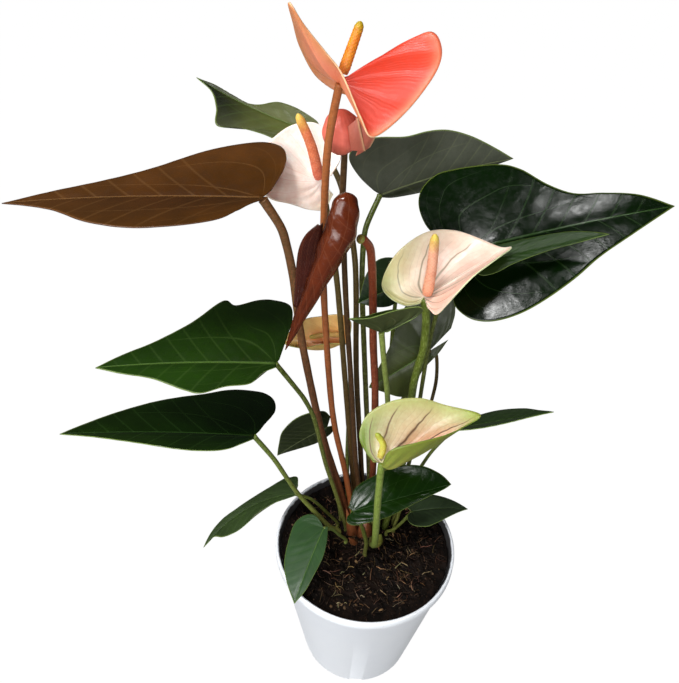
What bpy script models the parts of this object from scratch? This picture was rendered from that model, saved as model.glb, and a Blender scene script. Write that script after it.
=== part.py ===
"""Potted anthurium: a young flowering plant in a white plastic nursery pot.

Metres, +Z up. The origin is the centre of the pot's base. The design values below are in
millimetres and degrees. The blades, the spathes (the coloured leaves behind the flower spikes),
the stalks, the soil and the pot are separate closed bodies.
"""

import math

import bmesh
import bpy
import numpy as np
from mathutils import Vector

MM = 0.001
GAP = 0.3                  # clearance between pieces that touch

# Pot: a 12 cm nursery pot.
RIM_RADIUS = 60.0
BASE_RADIUS = 40.0
POT_HEIGHT = 110.0
WALL = 1.4
LIP_HEIGHT = 7.0
LIP_STEP = 1.0             # how far the lip stands out from the wall under it
EDGE_BEVEL = 0.6
FOOT_BEVEL = 1.0
POT_SEGMENTS = 48
DRAIN_COUNT = 6
DRAIN_WIDTH = 9.0
DRAIN_HEIGHT = 3.5
DRAIN_DEPTH = 5.0

# Soil: coir filled to just under the rim.
SOIL_EDGE = 103.0
SOIL_TOP = 104.0
SOIL_FLAT_RADIUS = 30.0    # the soil falls from its top outside this radius
SOIL_SIDE_GAP = 0.6        # the block's distance from the wall, measured level

# Crown: the short stump in the soil that every stalk grows round.
CROWN_PLACE = (0.0, 8.0)
CROWN_RADIUS = 3.6
CROWN_HEIGHT = 14.0

MOUND_HEIGHT = 4.0         # how far a stalk rises straight up from the soil
FOOT_GAP = 0.9             # the height of a stalk's foot over the soil's highest point

BLADE_THICKNESS = 0.8
SPATHE_THICKNESS = 0.9
SPINDLE_NARROWING = 0.55   # how much thinner a rolled leaf or bud is at its end
STALK_STEP = 15.0          # distance between the points of a stalk's tube
STALK_PULL_BACK = 0.9      # part of its radius by which a stalk stops short of its blade

COLOURS = {
    "plastic": (0.85, 0.87, 0.89),
    "soil": (0.035, 0.022, 0.014),
    "leaf": (0.02, 0.075, 0.018),
    "bronze": (0.11, 0.028, 0.016),
    "green_stalk": (0.13, 0.24, 0.05),
    "dark_stalk": (0.07, 0.03, 0.018),
    "red_stalk": (0.2, 0.04, 0.02),
    "coral": (0.85, 0.19, 0.13),
    "blush": (0.9, 0.6, 0.53),
    "cream": (0.88, 0.77, 0.6),
    "olive": (0.55, 0.33, 0.12),
    "spike_orange": (0.9, 0.42, 0.05),
    "spike_peach": (0.88, 0.42, 0.25),
    "spike_yellow": (0.75, 0.7, 0.15),
}

# A leaf: its stalk goes from its foot on the soil through `via` to the blade's base. `face` is
# where the upper side looks. Seen from above, with the tip ahead, `left` and `right` are the
# edges of its two halves from the notch to the tip, as (ahead of the base, away from the
# midrib). `folds` raises each half, `arch` lifts the middle, `curl` lowers the edges and `sway`
# bows the midrib to the left.
LEAVES = {
    "bronze": dict(
        foot=(-11, 17), via=[(-19, 15, 143), (-32, 13, 194), (-44, 10, 262), (-49, 4, 311), (-54, 1, 335)],
        base=(-62, 0, 349), tip=(-180, -2, 341), face=(0, -0.12, 1), folds=(5, 14), arch=2, curl=2,
        left=[(-3, 4), (-4, 12), (2, 22), (14, 28), (33, 29), (52, 26), (72, 20), (92, 10)],
        right=[(-4, 5), (-11, 20), (-11, 32), (-5, 40), (6, 41), (28, 35), (53, 23), (74, 15), (98, 8)],
        stalk=2.1, colour="bronze", stalk_colour="red_stalk"),
    "back_left": dict(
        foot=(-1, 27), via=[(-6, 27, 160), (-13, 30, 230), (-18, 42, 300), (-29, 68, 334), (-39, 76, 349)],
        base=(-44, 72, 358), tip=(-107, 84, 380), face=(0.1, -0.5, 1), folds=(0, 20), arch=0, curl=2,
        sway=3,
        left=[(-8, 5), (-11, 14), (0, 20), (17, 13), (33, 15), (45, 20), (50, 11), (57, 3)],
        right=[(-8, 6), (-10, 16), (0, 16), (12, 14), (22, 13), (32, 8), (40, 4), (48, 4), (57, 3)],
        stalk=1.6, colour="leaf", stalk_colour="dark_stalk"),
    "back_right": dict(
        foot=(4, 31), via=[(-1, 36, 160), (-8, 42, 230), (-13, 50, 285), (-12, 62, 310)],
        base=(-5, 74, 324), tip=(74, 104, 339), face=(-0.1, 0.95, 0.3), folds=(10, 10), arch=3, curl=2,
        left=[(0, 4), (10, 11), (28, 12), (46, 11), (64, 6)],
        right=[(-4, 4), (-12, 15), (-17, 27), (-13, 34), (-2, 37), (16, 32), (30, 32), (43, 30),
               (58, 22), (73, 11)],
        stalk=1.6, colour="leaf", stalk_colour="green_stalk"),
    "large_right": dict(
        foot=(10, 29), via=[(16, 40, 170), (26, 50, 230), (36, 53, 275), (42, 46, 301)],
        base=(43, 40, 309), tip=(147, 46, 337), face=(-0.3, -0.8, 1), folds=(5, 5), arch=3, curl=4,
        left=[(-8, 6), (-18, 16), (-21, 30), (-18, 43), (-10, 50), (0, 52), (25, 47), (37, 43), (48, 34),
              (60, 25), (75, 18), (92, 11)],
        right=[(-6, 8), (-13, 20), (-15, 30), (-12, 38), (-5, 43), (5, 45), (18, 43), (32, 38), (48, 30),
               (63, 21), (82, 12)],
        stalk=2.0, colour="leaf", stalk_colour="green_stalk"),
    "narrow_right": dict(
        foot=(20, 18), via=[(25, 18, 170), (25, 14, 262), (28, 13, 292), (34, 14, 305)],
        base=(43, 16, 314), tip=(105, 18, 332), face=(-0.3, -0.7, 1), folds=(10, 10), arch=0, curl=1,
        left=[(-2, 3), (3, 6), (14, 7), (28, 7), (45, 6), (57, 3)],
        right=[(-3, 4), (1, 8), (8, 8), (18, 5), (35, 2), (50, 1)],
        stalk=1.2, colour="leaf", stalk_colour="green_stalk"),
    "middle_left": dict(
        foot=(-13, 10), via=[(-20, 8, 140), (-29, 4, 178), (-37, -2, 222), (-46, -8, 246)],
        base=(-56, -12, 265), tip=(-144, -24, 266), face=(0, -0.05, 1), folds=(0, 8), arch=2, curl=2,
        left=[(0, 3), (7, 7), (15, 14), (25, 18), (36, 22), (45, 19), (60, 11), (76, 5)],
        right=[(-2, 3), (-6, 18), (-10, 34), (-9, 45), (0, 49), (9, 48), (21, 44), (26, 48), (31, 46),
               (44, 33), (61, 19), (76, 9)],
        stalk=1.3, colour="leaf", stalk_colour="green_stalk"),
    "low_left": dict(
        foot=(-18, 7), via=[(-24, 4, 116), (-36, 0, 138), (-47, -5, 162), (-58, -10, 192)],
        base=(-69, -14, 215), tip=(-171, -26, 221), face=(0, 0.1, 1), folds=(6, 6), arch=2, curl=2,
        left=[(0, 3), (7, 9), (14, 14), (24, 16), (40, 15), (67, 9), (86, 4)],
        right=[(-3, 4), (-7, 12), (-12, 22), (-11, 33), (-4, 40), (8, 41), (18, 39), (30, 34), (45, 30),
               (60, 25), (78, 16), (92, 7)],
        stalk=1.4, colour="leaf", stalk_colour="green_stalk"),
    "small_left": dict(
        foot=(-19, 13), via=[(-26, 12, 120), (-37, 9, 137)],
        base=(-48, 6, 145), tip=(-111, 0, 92), face=(-0.5, -0.35, 1), folds=(5, 10), arch=0, curl=1,
        sway=-9,
        left=[(-2, 1), (8, 2), (20, 4), (34, 5.5), (50, 6.5), (66, 5)],
        right=[(-4, 4), (-6, 11), (3, 12.5), (16, 8.5), (30, 5), (45, 4.2), (59, 3.8), (70, 1)],
        stalk=1.0, colour="leaf", stalk_colour="green_stalk"),
    "front": dict(
        foot=(-13, 0), via=[(-17, -4, 118), (-22, -8, 129)],
        base=(-28, -12, 135), tip=(-43, -54, 118), face=(-0.3, -0.5, 1), folds=(5, 5), arch=2, curl=1,
        left=[(-2, 2), (3, 4), (10, 6), (19, 7), (28, 6), (39, 4)],
        right=[(-3, 3), (-6, 9), (-4, 15), (3, 19), (15, 18), (28, 15), (38, 9)],
        stalk=1.1, colour="leaf", stalk_colour="green_stalk"),
    "low_front": dict(
        foot=(0, -9), via=[(0, -12, 122), (-5, -18, 148)],
        base=(-11, -22, 165), tip=(48, -6, 175), face=(0, -0.5, 1), folds=(8, 8), arch=2, curl=2,
        left=[(-2, 3), (0, 6), (4, 12), (10, 16), (20, 18), (31, 20), (41, 19), (50, 15), (58, 7)],
        right=[(-4, 2), (-5, 5), (-2, 8), (7, 9), (19, 9), (30, 7), (45, 4), (56, 2)],
        stalk=1.3, colour="leaf", stalk_colour="green_stalk"),
    "low_right": dict(
        foot=(15, 8), via=[(19, 6, 114), (24, 6, 122)],
        base=(30, 8, 131), tip=(69, 16, 127), face=(0, 0, 1), folds=(8, 8), arch=2, curl=1,
        left=[(-2, 3), (-2, 8), (2, 13), (9, 14), (18, 12), (31, 6)],
        right=[(-4, 3), (-5, 8), (-2, 12), (6, 14), (13, 12), (20, 9), (31, 4)],
        stalk=1.0, colour="leaf", stalk_colour="green_stalk"),
    "thin_right": dict(
        foot=(20, 11), via=[(27, 14, 150), (39, 18, 180)],
        base=(50, 20, 197), tip=(109, 24, 211), face=(-0.1, 0.62, 1), folds=(8, 8), arch=0, curl=1,
        left=[(-3, 4), (0, 12), (12, 16), (30, 13), (47, 6)],
        right=[(-2, 4), (2, 9), (14, 12), (32, 10), (48, 5)],
        stalk=1.1, colour="leaf", stalk_colour="green_stalk"),
    "hanging": dict(
        foot=(16, 25), via=[(23, 27, 140), (33, 30, 190), (37, 37, 222), (35, 39, 238)],
        base=(29, 32, 246), tip=(-5, 26, 221), face=(-0.3, -1, 0.25), folds=(3, 3), arch=2, curl=3,
        left=[(-13, 0), (-4, 4), (4, 6), (10, 8), (18, 13), (24, 16), (30, 14), (37, 6)],
        right=[(-18, 5), (-25, 12), (-29, 22), (-20, 30), (-6, 31), (6, 25), (18, 15), (30, 8)],
        stalk=1.1, colour="leaf", stalk_colour="dark_stalk"),
    "inner": dict(
        foot=(9, 20), via=[(9, 24, 160), (8, 37, 220), (7, 41, 262)],
        base=(6, 30, 291), tip=(-15, 25, 281), face=(0, -1, 0.3), folds=(5, 5), arch=1, curl=2,
        left=[(-3, 5), (0, 14), (8, 16), (16, 10)],
        right=[(-4, 5), (-5, 13), (4, 17), (14, 12)],
        stalk=1.2, colour="leaf", stalk_colour="green_stalk"),
    "low_back": dict(
        foot=(-17, 19), via=[(-22, 20, 140), (-28, 21, 166)],
        base=(-34, 24, 183), tip=(-62, 30, 155), face=(-0.4, 0.9, 0.15), folds=(5, 5), arch=1, curl=2,
        left=[(-4, 3), (-9, 9), (-3, 14), (10, 15), (24, 10), (33, 4)],
        right=[(-4, 3), (-6, 8), (2, 11), (14, 11), (28, 6)],
        stalk=1.1, colour="leaf", stalk_colour="green_stalk"),
}

# The small leaf whose halves are folded together stands on its stalk like a boat. Its edge is
# in world coordinates, like a spathe's below.
FOLDED = dict(
    foot=(9, 12), via=[(8, 9, 160), (6, 4, 220), (0, -2, 262)], base=(-3, -4, 282), stalk=1.5,
    sag=(0.2, -0.4, -1),
    margin=[(0, -6, 284, 0), (15, -4, 294, 0), (14, -5, 299, 0), (2, -8, 298, 0),
            (-10, -11, 295, 0), (-20, -11, 294, 0), (-12, -5, 292, 0), (-4, 0, 292, 0), (4, 3, 292, 0),
            (9, 4, 289, 0), (0, -1, 283, 0)])

# The furled young leaf hangs from its stalk as a rolled spindle from `top` to `tip`.
FURLED = dict(
    foot=(4, 15), via=[(-1, 12, 216), (-6, 8, 268), (-9, 3, 305), (-12, -3, 328), (-15, -7, 334)],
    joint=(-18, -9, 336), top=(-24, -13, 356), tip=(-50, -20, 280), radius=(10.5, 7.0), stalk=2.0)

# A flower: its stalk ends at its `joint`, or else at its base. Its spathe spreads from `base` to
# a margin that runs from one side of the notch round the tip to the other side. A margin point's
# fourth value is how far the surface sags below the straight line from the base, along `sag`.
FLOWERS = {
    "coral": dict(
        foot=(-7, 11), via=[(-16, 14, 159), (-26, 13, 211), (-33, 9, 292), (-34, 3, 335), (-33, -4, 374)],
        base=(-29, -9, 401), stalk=1.7, stalk_colour="dark_stalk", colour="coral",
        spike=[(-28, -7, 404), (-25, -6, 413), (-22, -5, 422)],
        spike_radius=1.9, spike_colour="spike_orange",
        sag=(0, 0, -1),
        margin=[(-20, -2, 406, 0), (-8, 3, 411, 0), (5, 6, 418, -1), (10, 2, 413, 0), (8, -4, 405, 1),
                (-3, -16, 393, 1), (-15, -26, 386, 0), (-20, -25, 392, -1), (-28, -19, 406, -1),
                (-34, -19, 413, 1), (-41, -21, 421, 3), (-47, -23, 429, 4), (-47, -8, 421, 4),
                (-45, 4, 410, 2), (-38, 14, 397, -2), (-24, 20, 390, -4), (-8, 20, 398, -3),
                (2, 14, 412, -1), (-8, 9, 411, 0), (-21, 1, 406, 0)]),
    "blush": dict(
        foot=(-6, 23), via=[(-12, 24, 159), (-20, 27, 230), (-27, 31, 290), (-34, 41, 326)],
        base=(-37, 34, 345), joint=(-37, 38, 346), stalk=1.6, stalk_colour="dark_stalk", colour="blush",
        spike=[(-38, 31, 348), (-42, 27, 365), (-48, 23, 380)],
        spike_radius=2.6, spike_colour="spike_peach",
        sag=(0, 0.7, -0.7),
        margin=[(-32, 36, 348, 0), (-28, 42, 356, 1), (-33, 47, 364, 2), (-42, 50, 369, 3),
                (-53, 47, 368, 3), (-63, 40, 362, 3), (-74, 30, 352, 1), (-63, 24, 340, 3),
                (-52, 26, 336, 3), (-42, 29, 332, 2), (-35, 33, 331, 1), (-31, 36, 338, 0)]),
    "cream": dict(
        foot=(14, 14), via=[(19, 14, 150), (20, 12, 200), (19, 9, 240), (21, 6, 266), (20, 4, 285)],
        base=(17, 3, 300), stalk=2.2, stalk_colour="green_stalk", colour="cream",
        spike=[(18, 1, 303), (18, -1, 320), (17, -3, 337)],
        spike_radius=2.7, spike_colour="spike_peach",
        sag=(0, 0.3, -1),
        margin=[(15, 1, 297, 0), (8, 2, 295, 1), (0, 6, 297, 2), (-4, 13, 301, 2), (1, 20, 312, 3),
                (10, 25, 320, 4), (20, 27, 325, 4), (32, 26, 326, 3), (43, 23, 324, 2), (55, 15, 325, 0),
                (48, 2, 323, 3), (38, -5, 318, 3), (31, -8, 310, 2), (27, -7, 302, 1), (23, -5, 295, 0),
                (19, -1, 296, 0)]),
    "lime": dict(
        foot=(5, 1), via=[(4, -12, 122), (3, -30, 146), (2, -39, 168), (1, -40, 196)],
        base=(1, -36, 222), stalk=1.9, stalk_colour="green_stalk", colour="cream",
        spike=[(0, -36, 226), (1, -34, 233), (-3, -33, 240)],
        spike_radius=1.9, spike_colour="spike_yellow",
        sag=(0.1, -0.5, -1),
        margin=[(-3, -34, 220, 0), (-7, -30, 223, 1), (-11, -25, 229, 2), (-9, -19, 237, 3),
                (-3, -15, 243, 4), (8, -12, 248, 5), (21, -11, 249, 5), (34, -12, 246, 4),
                (50, -18, 243, 1), (45, -26, 241, 5), (32, -37, 244, 7), (18, -42, 244, 8),
                (8, -43, 241, 7), (3, -42, 236, 4), (2, -40, 229, 1)]),
    "olive": dict(
        foot=(-12, 24), via=[(-15, 28, 160), (-16, 36, 215)],
        base=(-19, 39, 247), stalk=1.3, stalk_colour="green_stalk", colour="olive",
        spike=[(-23, 37, 251), (-33, 36, 251), (-42, 37, 248)],
        spike_radius=1.6, spike_colour="spike_yellow",
        sag=(0, 0, -1),
        margin=[(-18, 37, 250, 0), (-18, 41, 258, 0), (-24, 42, 262, 2), (-36, 42, 260, 3),
                (-47, 42, 256, 3), (-58, 40, 242, 1), (-46, 33, 243, 4), (-33, 31, 248, 3),
                (-22, 32, 248, 1), (-19, 34, 246, 0)]),
}

# The bud: a spathe still rolled into a ball round its spike.
BUD = dict(foot=(-1, 19), via=[(-9, 19, 160), (-16, 19, 230), (-22, 18, 290), (-26, 14, 345)],
           base=(-26, 12, 367), centre=(-27, 12, 376), radii=(9.6, 9.6, 9.0), stalk=1.5)


def clear_scene():
    for thing in list(bpy.data.objects):
        bpy.data.objects.remove(thing, do_unlink=True)


def make_collection(name):
    collection = bpy.data.collections.new(name)
    bpy.context.scene.collection.children.link(collection)
    return collection


def make_material(name, colour, roughness, metallic=0.0):
    material = bpy.data.materials.new(name)
    material.use_nodes = True
    shader = material.node_tree.nodes["Principled BSDF"]
    shader.inputs["Base Color"].default_value = (*colour, 1.0)
    shader.inputs["Roughness"].default_value = roughness
    shader.inputs["Metallic"].default_value = metallic
    material.diffuse_color = (*colour, 1.0)
    return material


def add_object(name, data, colour, roughness, collection):
    thing = bpy.data.objects.new(name, data)
    data.materials.append(make_material(name, COLOURS[colour], roughness))
    collection.objects.link(thing)
    return thing


def mesh_from(mesh, name):
    """Write a bmesh to a new mesh."""
    data = bpy.data.meshes.new(name)
    mesh.to_mesh(data)
    mesh.free()
    return data


def smooth_route(points, step):
    """A smooth curve through the points, read about every `step` millimetres."""
    points = [Vector(point) for point in points]
    padded = [2 * points[0] - points[1], *points, 2 * points[-1] - points[-2]]
    route = []
    for before, start, end, after in zip(padded, padded[1:], padded[2:], padded[3:]):
        pieces = max(1, round((end - start).length / step))
        for index in range(pieces):
            t = index / pieces
            route.append(0.5 * (2 * start + (end - before) * t
                                + (2 * before - 5 * start + 4 * end - after) * t ** 2
                                + (3 * start - before - 3 * end + after) * t ** 3))
    route.append(points[-1])
    return route


def smooth_edge(points, count):
    """`count` + 1 values spread along a smooth curve through rows of numbers."""
    points = np.array(points, float)
    padded = np.concatenate([[2 * points[0] - points[1]], points, [2 * points[-1] - points[-2]]])
    place = np.linspace(0, len(points) - 1, count + 1)
    start = np.minimum(place.astype(int), len(points) - 2)
    t = (place - start)[:, None]
    a, b, c, d = (padded[start + k] for k in range(4))
    return 0.5 * (2 * b + (c - a) * t + (2 * a - 5 * b + 4 * c - d) * t ** 2
                  + (3 * b - a - 3 * c + d) * t ** 3)


def blade_edge(leaf, count):
    """The edge of a blade as (ahead, to the left), smooth on each half and sharp at the tip."""
    reach = math.dist(leaf["base"], leaf["tip"])
    left = smooth_edge([*leaf["left"], (reach, 0)], count // 2)
    right = smooth_edge([*leaf["right"], (reach, 0)], count // 2) * (1, -1)
    return np.concatenate([left, right[-2::-1]])


def blade_points(leaf, rings, sectors):
    """Points of a blade's middle surface: rings out from its base, sectors round its edge."""
    base = np.array(leaf["base"], float)
    chord = np.array(leaf["tip"], float) - base
    reach = np.linalg.norm(chord)
    forward = chord / reach
    face = np.array(leaf["face"], float)
    up = face - face @ forward * forward
    up /= np.linalg.norm(up)
    aside = np.cross(up, forward)

    out = np.linspace(0, 1, rings + 1)[:, None, None]
    ahead, left = np.moveaxis(blade_edge(leaf, sectors) * out, -1, 0)
    half = max(away for _, away in leaf["left"] + leaf["right"])
    share = np.clip(ahead / reach, 0, 1)
    raised = leaf["arch"] * 4 * share * (1 - share) - leaf["curl"] * (left / half) ** 2
    fold = np.radians(np.where(left > 0, *leaf["folds"]))
    raised += np.abs(left) * np.sin(fold)
    level = left * np.cos(fold) + leaf.get("sway", 0) * 4 * share * (1 - share)
    return base + ahead[..., None] * forward + level[..., None] * aside + raised[..., None] * up


def spathe_points(flower, rings, sectors):
    """Points of a spathe's middle surface: rings out from its base, sectors round its margin."""
    base = np.array(flower["base"], float)
    edge = smooth_edge(flower["margin"], sectors)
    out = np.linspace(0, 1, rings + 1)[:, None, None]
    sag = np.array(flower["sag"], float)
    return base + (edge[:, :3] - base) * out + sag * edge[:, 3:] * 4 * out * (1 - out)


def add_sheet(name, points, thickness, colour, collection):
    """A closed sheet: a grid whose points are put in place, thickened by Solidify."""
    rows, columns = points.shape[0] - 1, points.shape[1] - 1
    mesh = bmesh.new()
    bmesh.ops.create_grid(mesh, x_segments=columns, y_segments=rows, size=1.0)
    for vertex in mesh.verts:
        column = round((vertex.co.x + 1) / 2 * columns)
        row = round((vertex.co.y + 1) / 2 * rows)
        vertex.co = Vector(points[row, column]) * MM
    bmesh.ops.remove_doubles(mesh, verts=mesh.verts, dist=0.0001)
    thing = add_object(name, mesh_from(mesh, name), colour, 0.35, collection)
    solidify = thing.modifiers.new("thickness", "SOLIDIFY")
    solidify.thickness = thickness * MM
    solidify.offset = 0.0
    return thing


def add_tube(name, route, radius, colour, collection, taper=lambda share: 1.0, roughness=0.4):
    """A round stalk or spike: a poly spline with a bevel and filled caps."""
    curve = bpy.data.curves.new(name, "CURVE")
    curve.dimensions = "3D"
    curve.bevel_depth = radius * MM
    curve.bevel_resolution = 2
    curve.use_fill_caps = True
    spline = curve.splines.new("POLY")
    spline.points.add(len(route) - 1)
    for index, (point, place) in enumerate(zip(spline.points, route)):
        point.co = (*(Vector(place) * MM), 1.0)
        point.radius = taper(index / (len(route) - 1))
    return add_object(name, curve, colour, roughness, collection)


def stalk_route(plan, end):
    """The points of a stalk from the soil to its end, stopping short of what it carries."""
    foot = Vector((*plan["foot"], SOIL_TOP + FOOT_GAP))
    above = foot + Vector((0, 0, MOUND_HEIGHT))
    end = Vector(end)
    arrive = (end - Vector(plan["via"][-1])).normalized()
    stop = end - arrive * (BLADE_THICKNESS + GAP + STALK_PULL_BACK * plan["stalk"])
    return smooth_route([foot, above, *plan["via"], stop], STALK_STEP)


def stalk_taper(share):
    """A stalk is a little thicker at its foot."""
    return 1.0 + 0.15 * (1 - share) ** 2


def spike_taper(share):
    """A flower spike narrows to a round tip."""
    return (1.0 - 0.25 * share) * math.sqrt(max(0.1, 1 - max(0.0, (share - 0.8) / 0.2) ** 2))


def add_spindle(name, start, end, radii, colour, collection, segments=16, rings=12):
    """A rolled leaf or bud: a sphere stretched between two points, narrower towards its end."""
    mesh = bmesh.new()
    bmesh.ops.create_uvsphere(mesh, u_segments=segments, v_segments=rings, radius=1.0)
    start, end = Vector(start), Vector(end)
    axis = (end - start).normalized()
    side = axis.cross(Vector((0, 1, 0))).normalized()
    depth = side.cross(axis)
    for vertex in mesh.verts:
        share = (1 - vertex.co.z) / 2
        full = 1.0 - SPINDLE_NARROWING * share ** 1.5
        across = side * (vertex.co.x * radii[0] * full) + depth * (vertex.co.y * radii[1] * full)
        vertex.co = (start.lerp(end, share) + across) * MM
    return add_object(name, mesh_from(mesh, name), colour, 0.3, collection)


def add_turned(name, profile, colour, roughness, collection):
    """A solid turned round the Z axis from a profile of (radius, height)."""
    mesh = bmesh.new()
    points = [mesh.verts.new((radius * MM, 0, height * MM)) for radius, height in profile]
    for start, end in zip(points, points[1:]):
        mesh.edges.new((start, end))
    thing = add_object(name, mesh_from(mesh, name), colour, roughness, collection)
    screw = thing.modifiers.new("turn", "SCREW")
    screw.steps = POT_SEGMENTS
    screw.render_steps = POT_SEGMENTS
    screw.use_merge_vertices = True
    screw.merge_threshold = 0.0001
    screw.use_normal_calculate = True
    return thing


def add_pot(collection, cutters):
    """The turned pot with a flat base, a lip at the rim and drain notches round the base."""
    under_lip = POT_HEIGHT - LIP_HEIGHT
    slope = (RIM_RADIUS - LIP_STEP - BASE_RADIUS) / POT_HEIGHT
    wall_top = BASE_RADIUS + slope * under_lip
    inner_foot = BASE_RADIUS - WALL
    profile = [(0, 0), (BASE_RADIUS - FOOT_BEVEL, 0), (BASE_RADIUS, FOOT_BEVEL), (wall_top, under_lip),
               (RIM_RADIUS - EDGE_BEVEL, under_lip + EDGE_BEVEL), (RIM_RADIUS, under_lip + 2 * EDGE_BEVEL),
               (RIM_RADIUS, POT_HEIGHT - EDGE_BEVEL), (RIM_RADIUS - EDGE_BEVEL, POT_HEIGHT),
               (RIM_RADIUS - WALL, POT_HEIGHT), (RIM_RADIUS - WALL - EDGE_BEVEL, POT_HEIGHT - EDGE_BEVEL),
               (wall_top - WALL, under_lip), (inner_foot, WALL + FOOT_BEVEL),
               (inner_foot - FOOT_BEVEL, WALL),
               (0, WALL)]
    pot = add_turned("pot", profile, "plastic", 0.3, collection)
    for index in range(DRAIN_COUNT):
        angle = 2 * math.pi * (index + 0.5) / DRAIN_COUNT
        bpy.ops.mesh.primitive_cube_add(size=1)
        cutter = bpy.context.object
        cutter.name = f"drain_cutter_{index + 1}"
        cutter.scale = (2 * DRAIN_DEPTH * MM, DRAIN_WIDTH * MM, 2 * DRAIN_HEIGHT * MM)
        cutter.location = (BASE_RADIUS * math.cos(angle) * MM, BASE_RADIUS * math.sin(angle) * MM, 0)
        cutter.rotation_euler = (0, 0, angle)
        cutter.hide_render = True
        cutter.display_type = "WIRE"
        for owner in list(cutter.users_collection):
            owner.objects.unlink(cutter)
        cutters.objects.link(cutter)
        cut = pot.modifiers.new(f"drain_{index + 1}", "BOOLEAN")
        cut.operation = "DIFFERENCE"
        cut.solver = "EXACT"
        cut.object = cutter
    return pot


def add_soil(collection):
    """The block of coir: it fills the pot and is slightly raised round the plant."""
    slope = (RIM_RADIUS - LIP_STEP - BASE_RADIUS) / POT_HEIGHT
    floor = WALL + GAP
    inner = BASE_RADIUS - WALL - SOIL_SIDE_GAP
    profile = [(0, floor), (inner - 2 * FOOT_BEVEL, floor), (inner, floor + 3 * FOOT_BEVEL),
               (inner + slope * SOIL_EDGE, SOIL_EDGE), (SOIL_FLAT_RADIUS, SOIL_TOP), (0, SOIL_TOP)]
    return add_turned("soil", profile, "soil", 0.95, collection)


def add_crown(collection):
    """The stump between the stalks."""
    mesh = bmesh.new()
    bmesh.ops.create_cone(mesh, cap_ends=True, segments=12, radius1=CROWN_RADIUS * MM,
                          radius2=0.6 * CROWN_RADIUS * MM, depth=CROWN_HEIGHT * MM)
    bottom = SOIL_TOP + GAP
    bmesh.ops.translate(mesh, verts=mesh.verts,
                        vec=Vector((*CROWN_PLACE, bottom + CROWN_HEIGHT / 2)) * MM)
    return add_object("crown", mesh_from(mesh, "crown"), "red_stalk", 0.6, collection)


def add_leaf(name, leaf, collection):
    points = blade_points(leaf, rings=4, sectors=22)
    add_sheet(f"leaf_{name}", points, BLADE_THICKNESS, leaf["colour"], collection)
    add_tube(f"stalk_{name}", stalk_route(leaf, leaf["base"]), leaf["stalk"], leaf["stalk_colour"],
             collection, stalk_taper)


def add_flower(name, flower, collection):
    points = spathe_points(flower, rings=4, sectors=24)
    add_sheet(f"spathe_{name}", points, SPATHE_THICKNESS, flower["colour"], collection)
    add_tube(f"spadix_{name}", smooth_route(flower["spike"], 5), flower["spike_radius"],
             flower["spike_colour"], collection, spike_taper)
    route = stalk_route(flower, flower.get("joint", flower["base"]))
    add_tube(f"flower_stalk_{name}", route, flower["stalk"], flower["stalk_colour"], collection, stalk_taper)


def main():
    clear_scene()
    plant = make_collection("potted_anthurium")
    cutters = make_collection("cutters")
    add_pot(plant, cutters)
    add_soil(plant)
    add_crown(plant)
    for name, leaf in LEAVES.items():
        add_leaf(name, leaf, plant)
    for name, flower in FLOWERS.items():
        add_flower(name, flower, plant)
    add_sheet("leaf_folded", spathe_points(FOLDED, rings=4, sectors=20), BLADE_THICKNESS, "leaf", plant)
    add_tube("stalk_folded", stalk_route(FOLDED, FOLDED["base"]), FOLDED["stalk"], "green_stalk", plant,
             stalk_taper)
    add_spindle("leaf_furled", FURLED["top"], FURLED["tip"], FURLED["radius"], "bronze", plant)
    add_tube("stalk_furled", stalk_route(FURLED, FURLED["joint"]), FURLED["stalk"], "red_stalk", plant,
             stalk_taper)
    top = Vector(BUD["centre"]) + Vector((0, 0, BUD["radii"][2]))
    bottom = Vector(BUD["centre"]) - Vector((0, 0, BUD["radii"][2]))
    add_spindle("spathe_bud", bottom, top, BUD["radii"], "coral", plant)
    add_tube("flower_stalk_bud", stalk_route(BUD, BUD["base"]), BUD["stalk"], "dark_stalk", plant,
             stalk_taper)


main()
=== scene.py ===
"""Potted anthurium: the plant, its soil and its nursery pot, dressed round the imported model.

Design values are in millimetres and degrees, and meshes are made in metres, +Z up, with the
origin at the centre of the pot's base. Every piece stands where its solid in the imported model
stands, and takes that solid's place.
"""
import logging
import math
import random
from dataclasses import dataclass, field
from enum import Enum

import bmesh
import bpy
import numpy as np
from mathutils import Matrix, Vector, noise


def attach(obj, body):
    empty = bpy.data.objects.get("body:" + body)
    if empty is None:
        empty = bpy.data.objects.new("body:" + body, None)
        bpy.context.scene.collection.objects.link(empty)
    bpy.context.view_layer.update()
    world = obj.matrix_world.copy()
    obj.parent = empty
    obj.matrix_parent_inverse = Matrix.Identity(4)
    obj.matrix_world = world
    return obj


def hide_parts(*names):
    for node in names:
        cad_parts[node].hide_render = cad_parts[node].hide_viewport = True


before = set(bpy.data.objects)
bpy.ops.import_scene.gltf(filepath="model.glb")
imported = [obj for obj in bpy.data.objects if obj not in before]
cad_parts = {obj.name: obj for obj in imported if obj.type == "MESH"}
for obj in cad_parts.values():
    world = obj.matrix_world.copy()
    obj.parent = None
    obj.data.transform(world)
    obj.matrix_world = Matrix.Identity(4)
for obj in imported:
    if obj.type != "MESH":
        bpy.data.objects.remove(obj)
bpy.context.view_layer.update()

MM = 0.001
BODY = "root"
SEED = 7
LOG = logging.getLogger("anthurium")

Colour = tuple[float, float, float]
Point = tuple[float, float, float]


def tone(red: int, green: int, blue: int) -> Colour:
    """A colour for the shaders from a paint chart's 0 to 255 values."""
    return tuple(((value / 255 + 0.055) / 1.055) ** 2.4 if value > 10 else value / 3295
                 for value in (red, green, blue))


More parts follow.
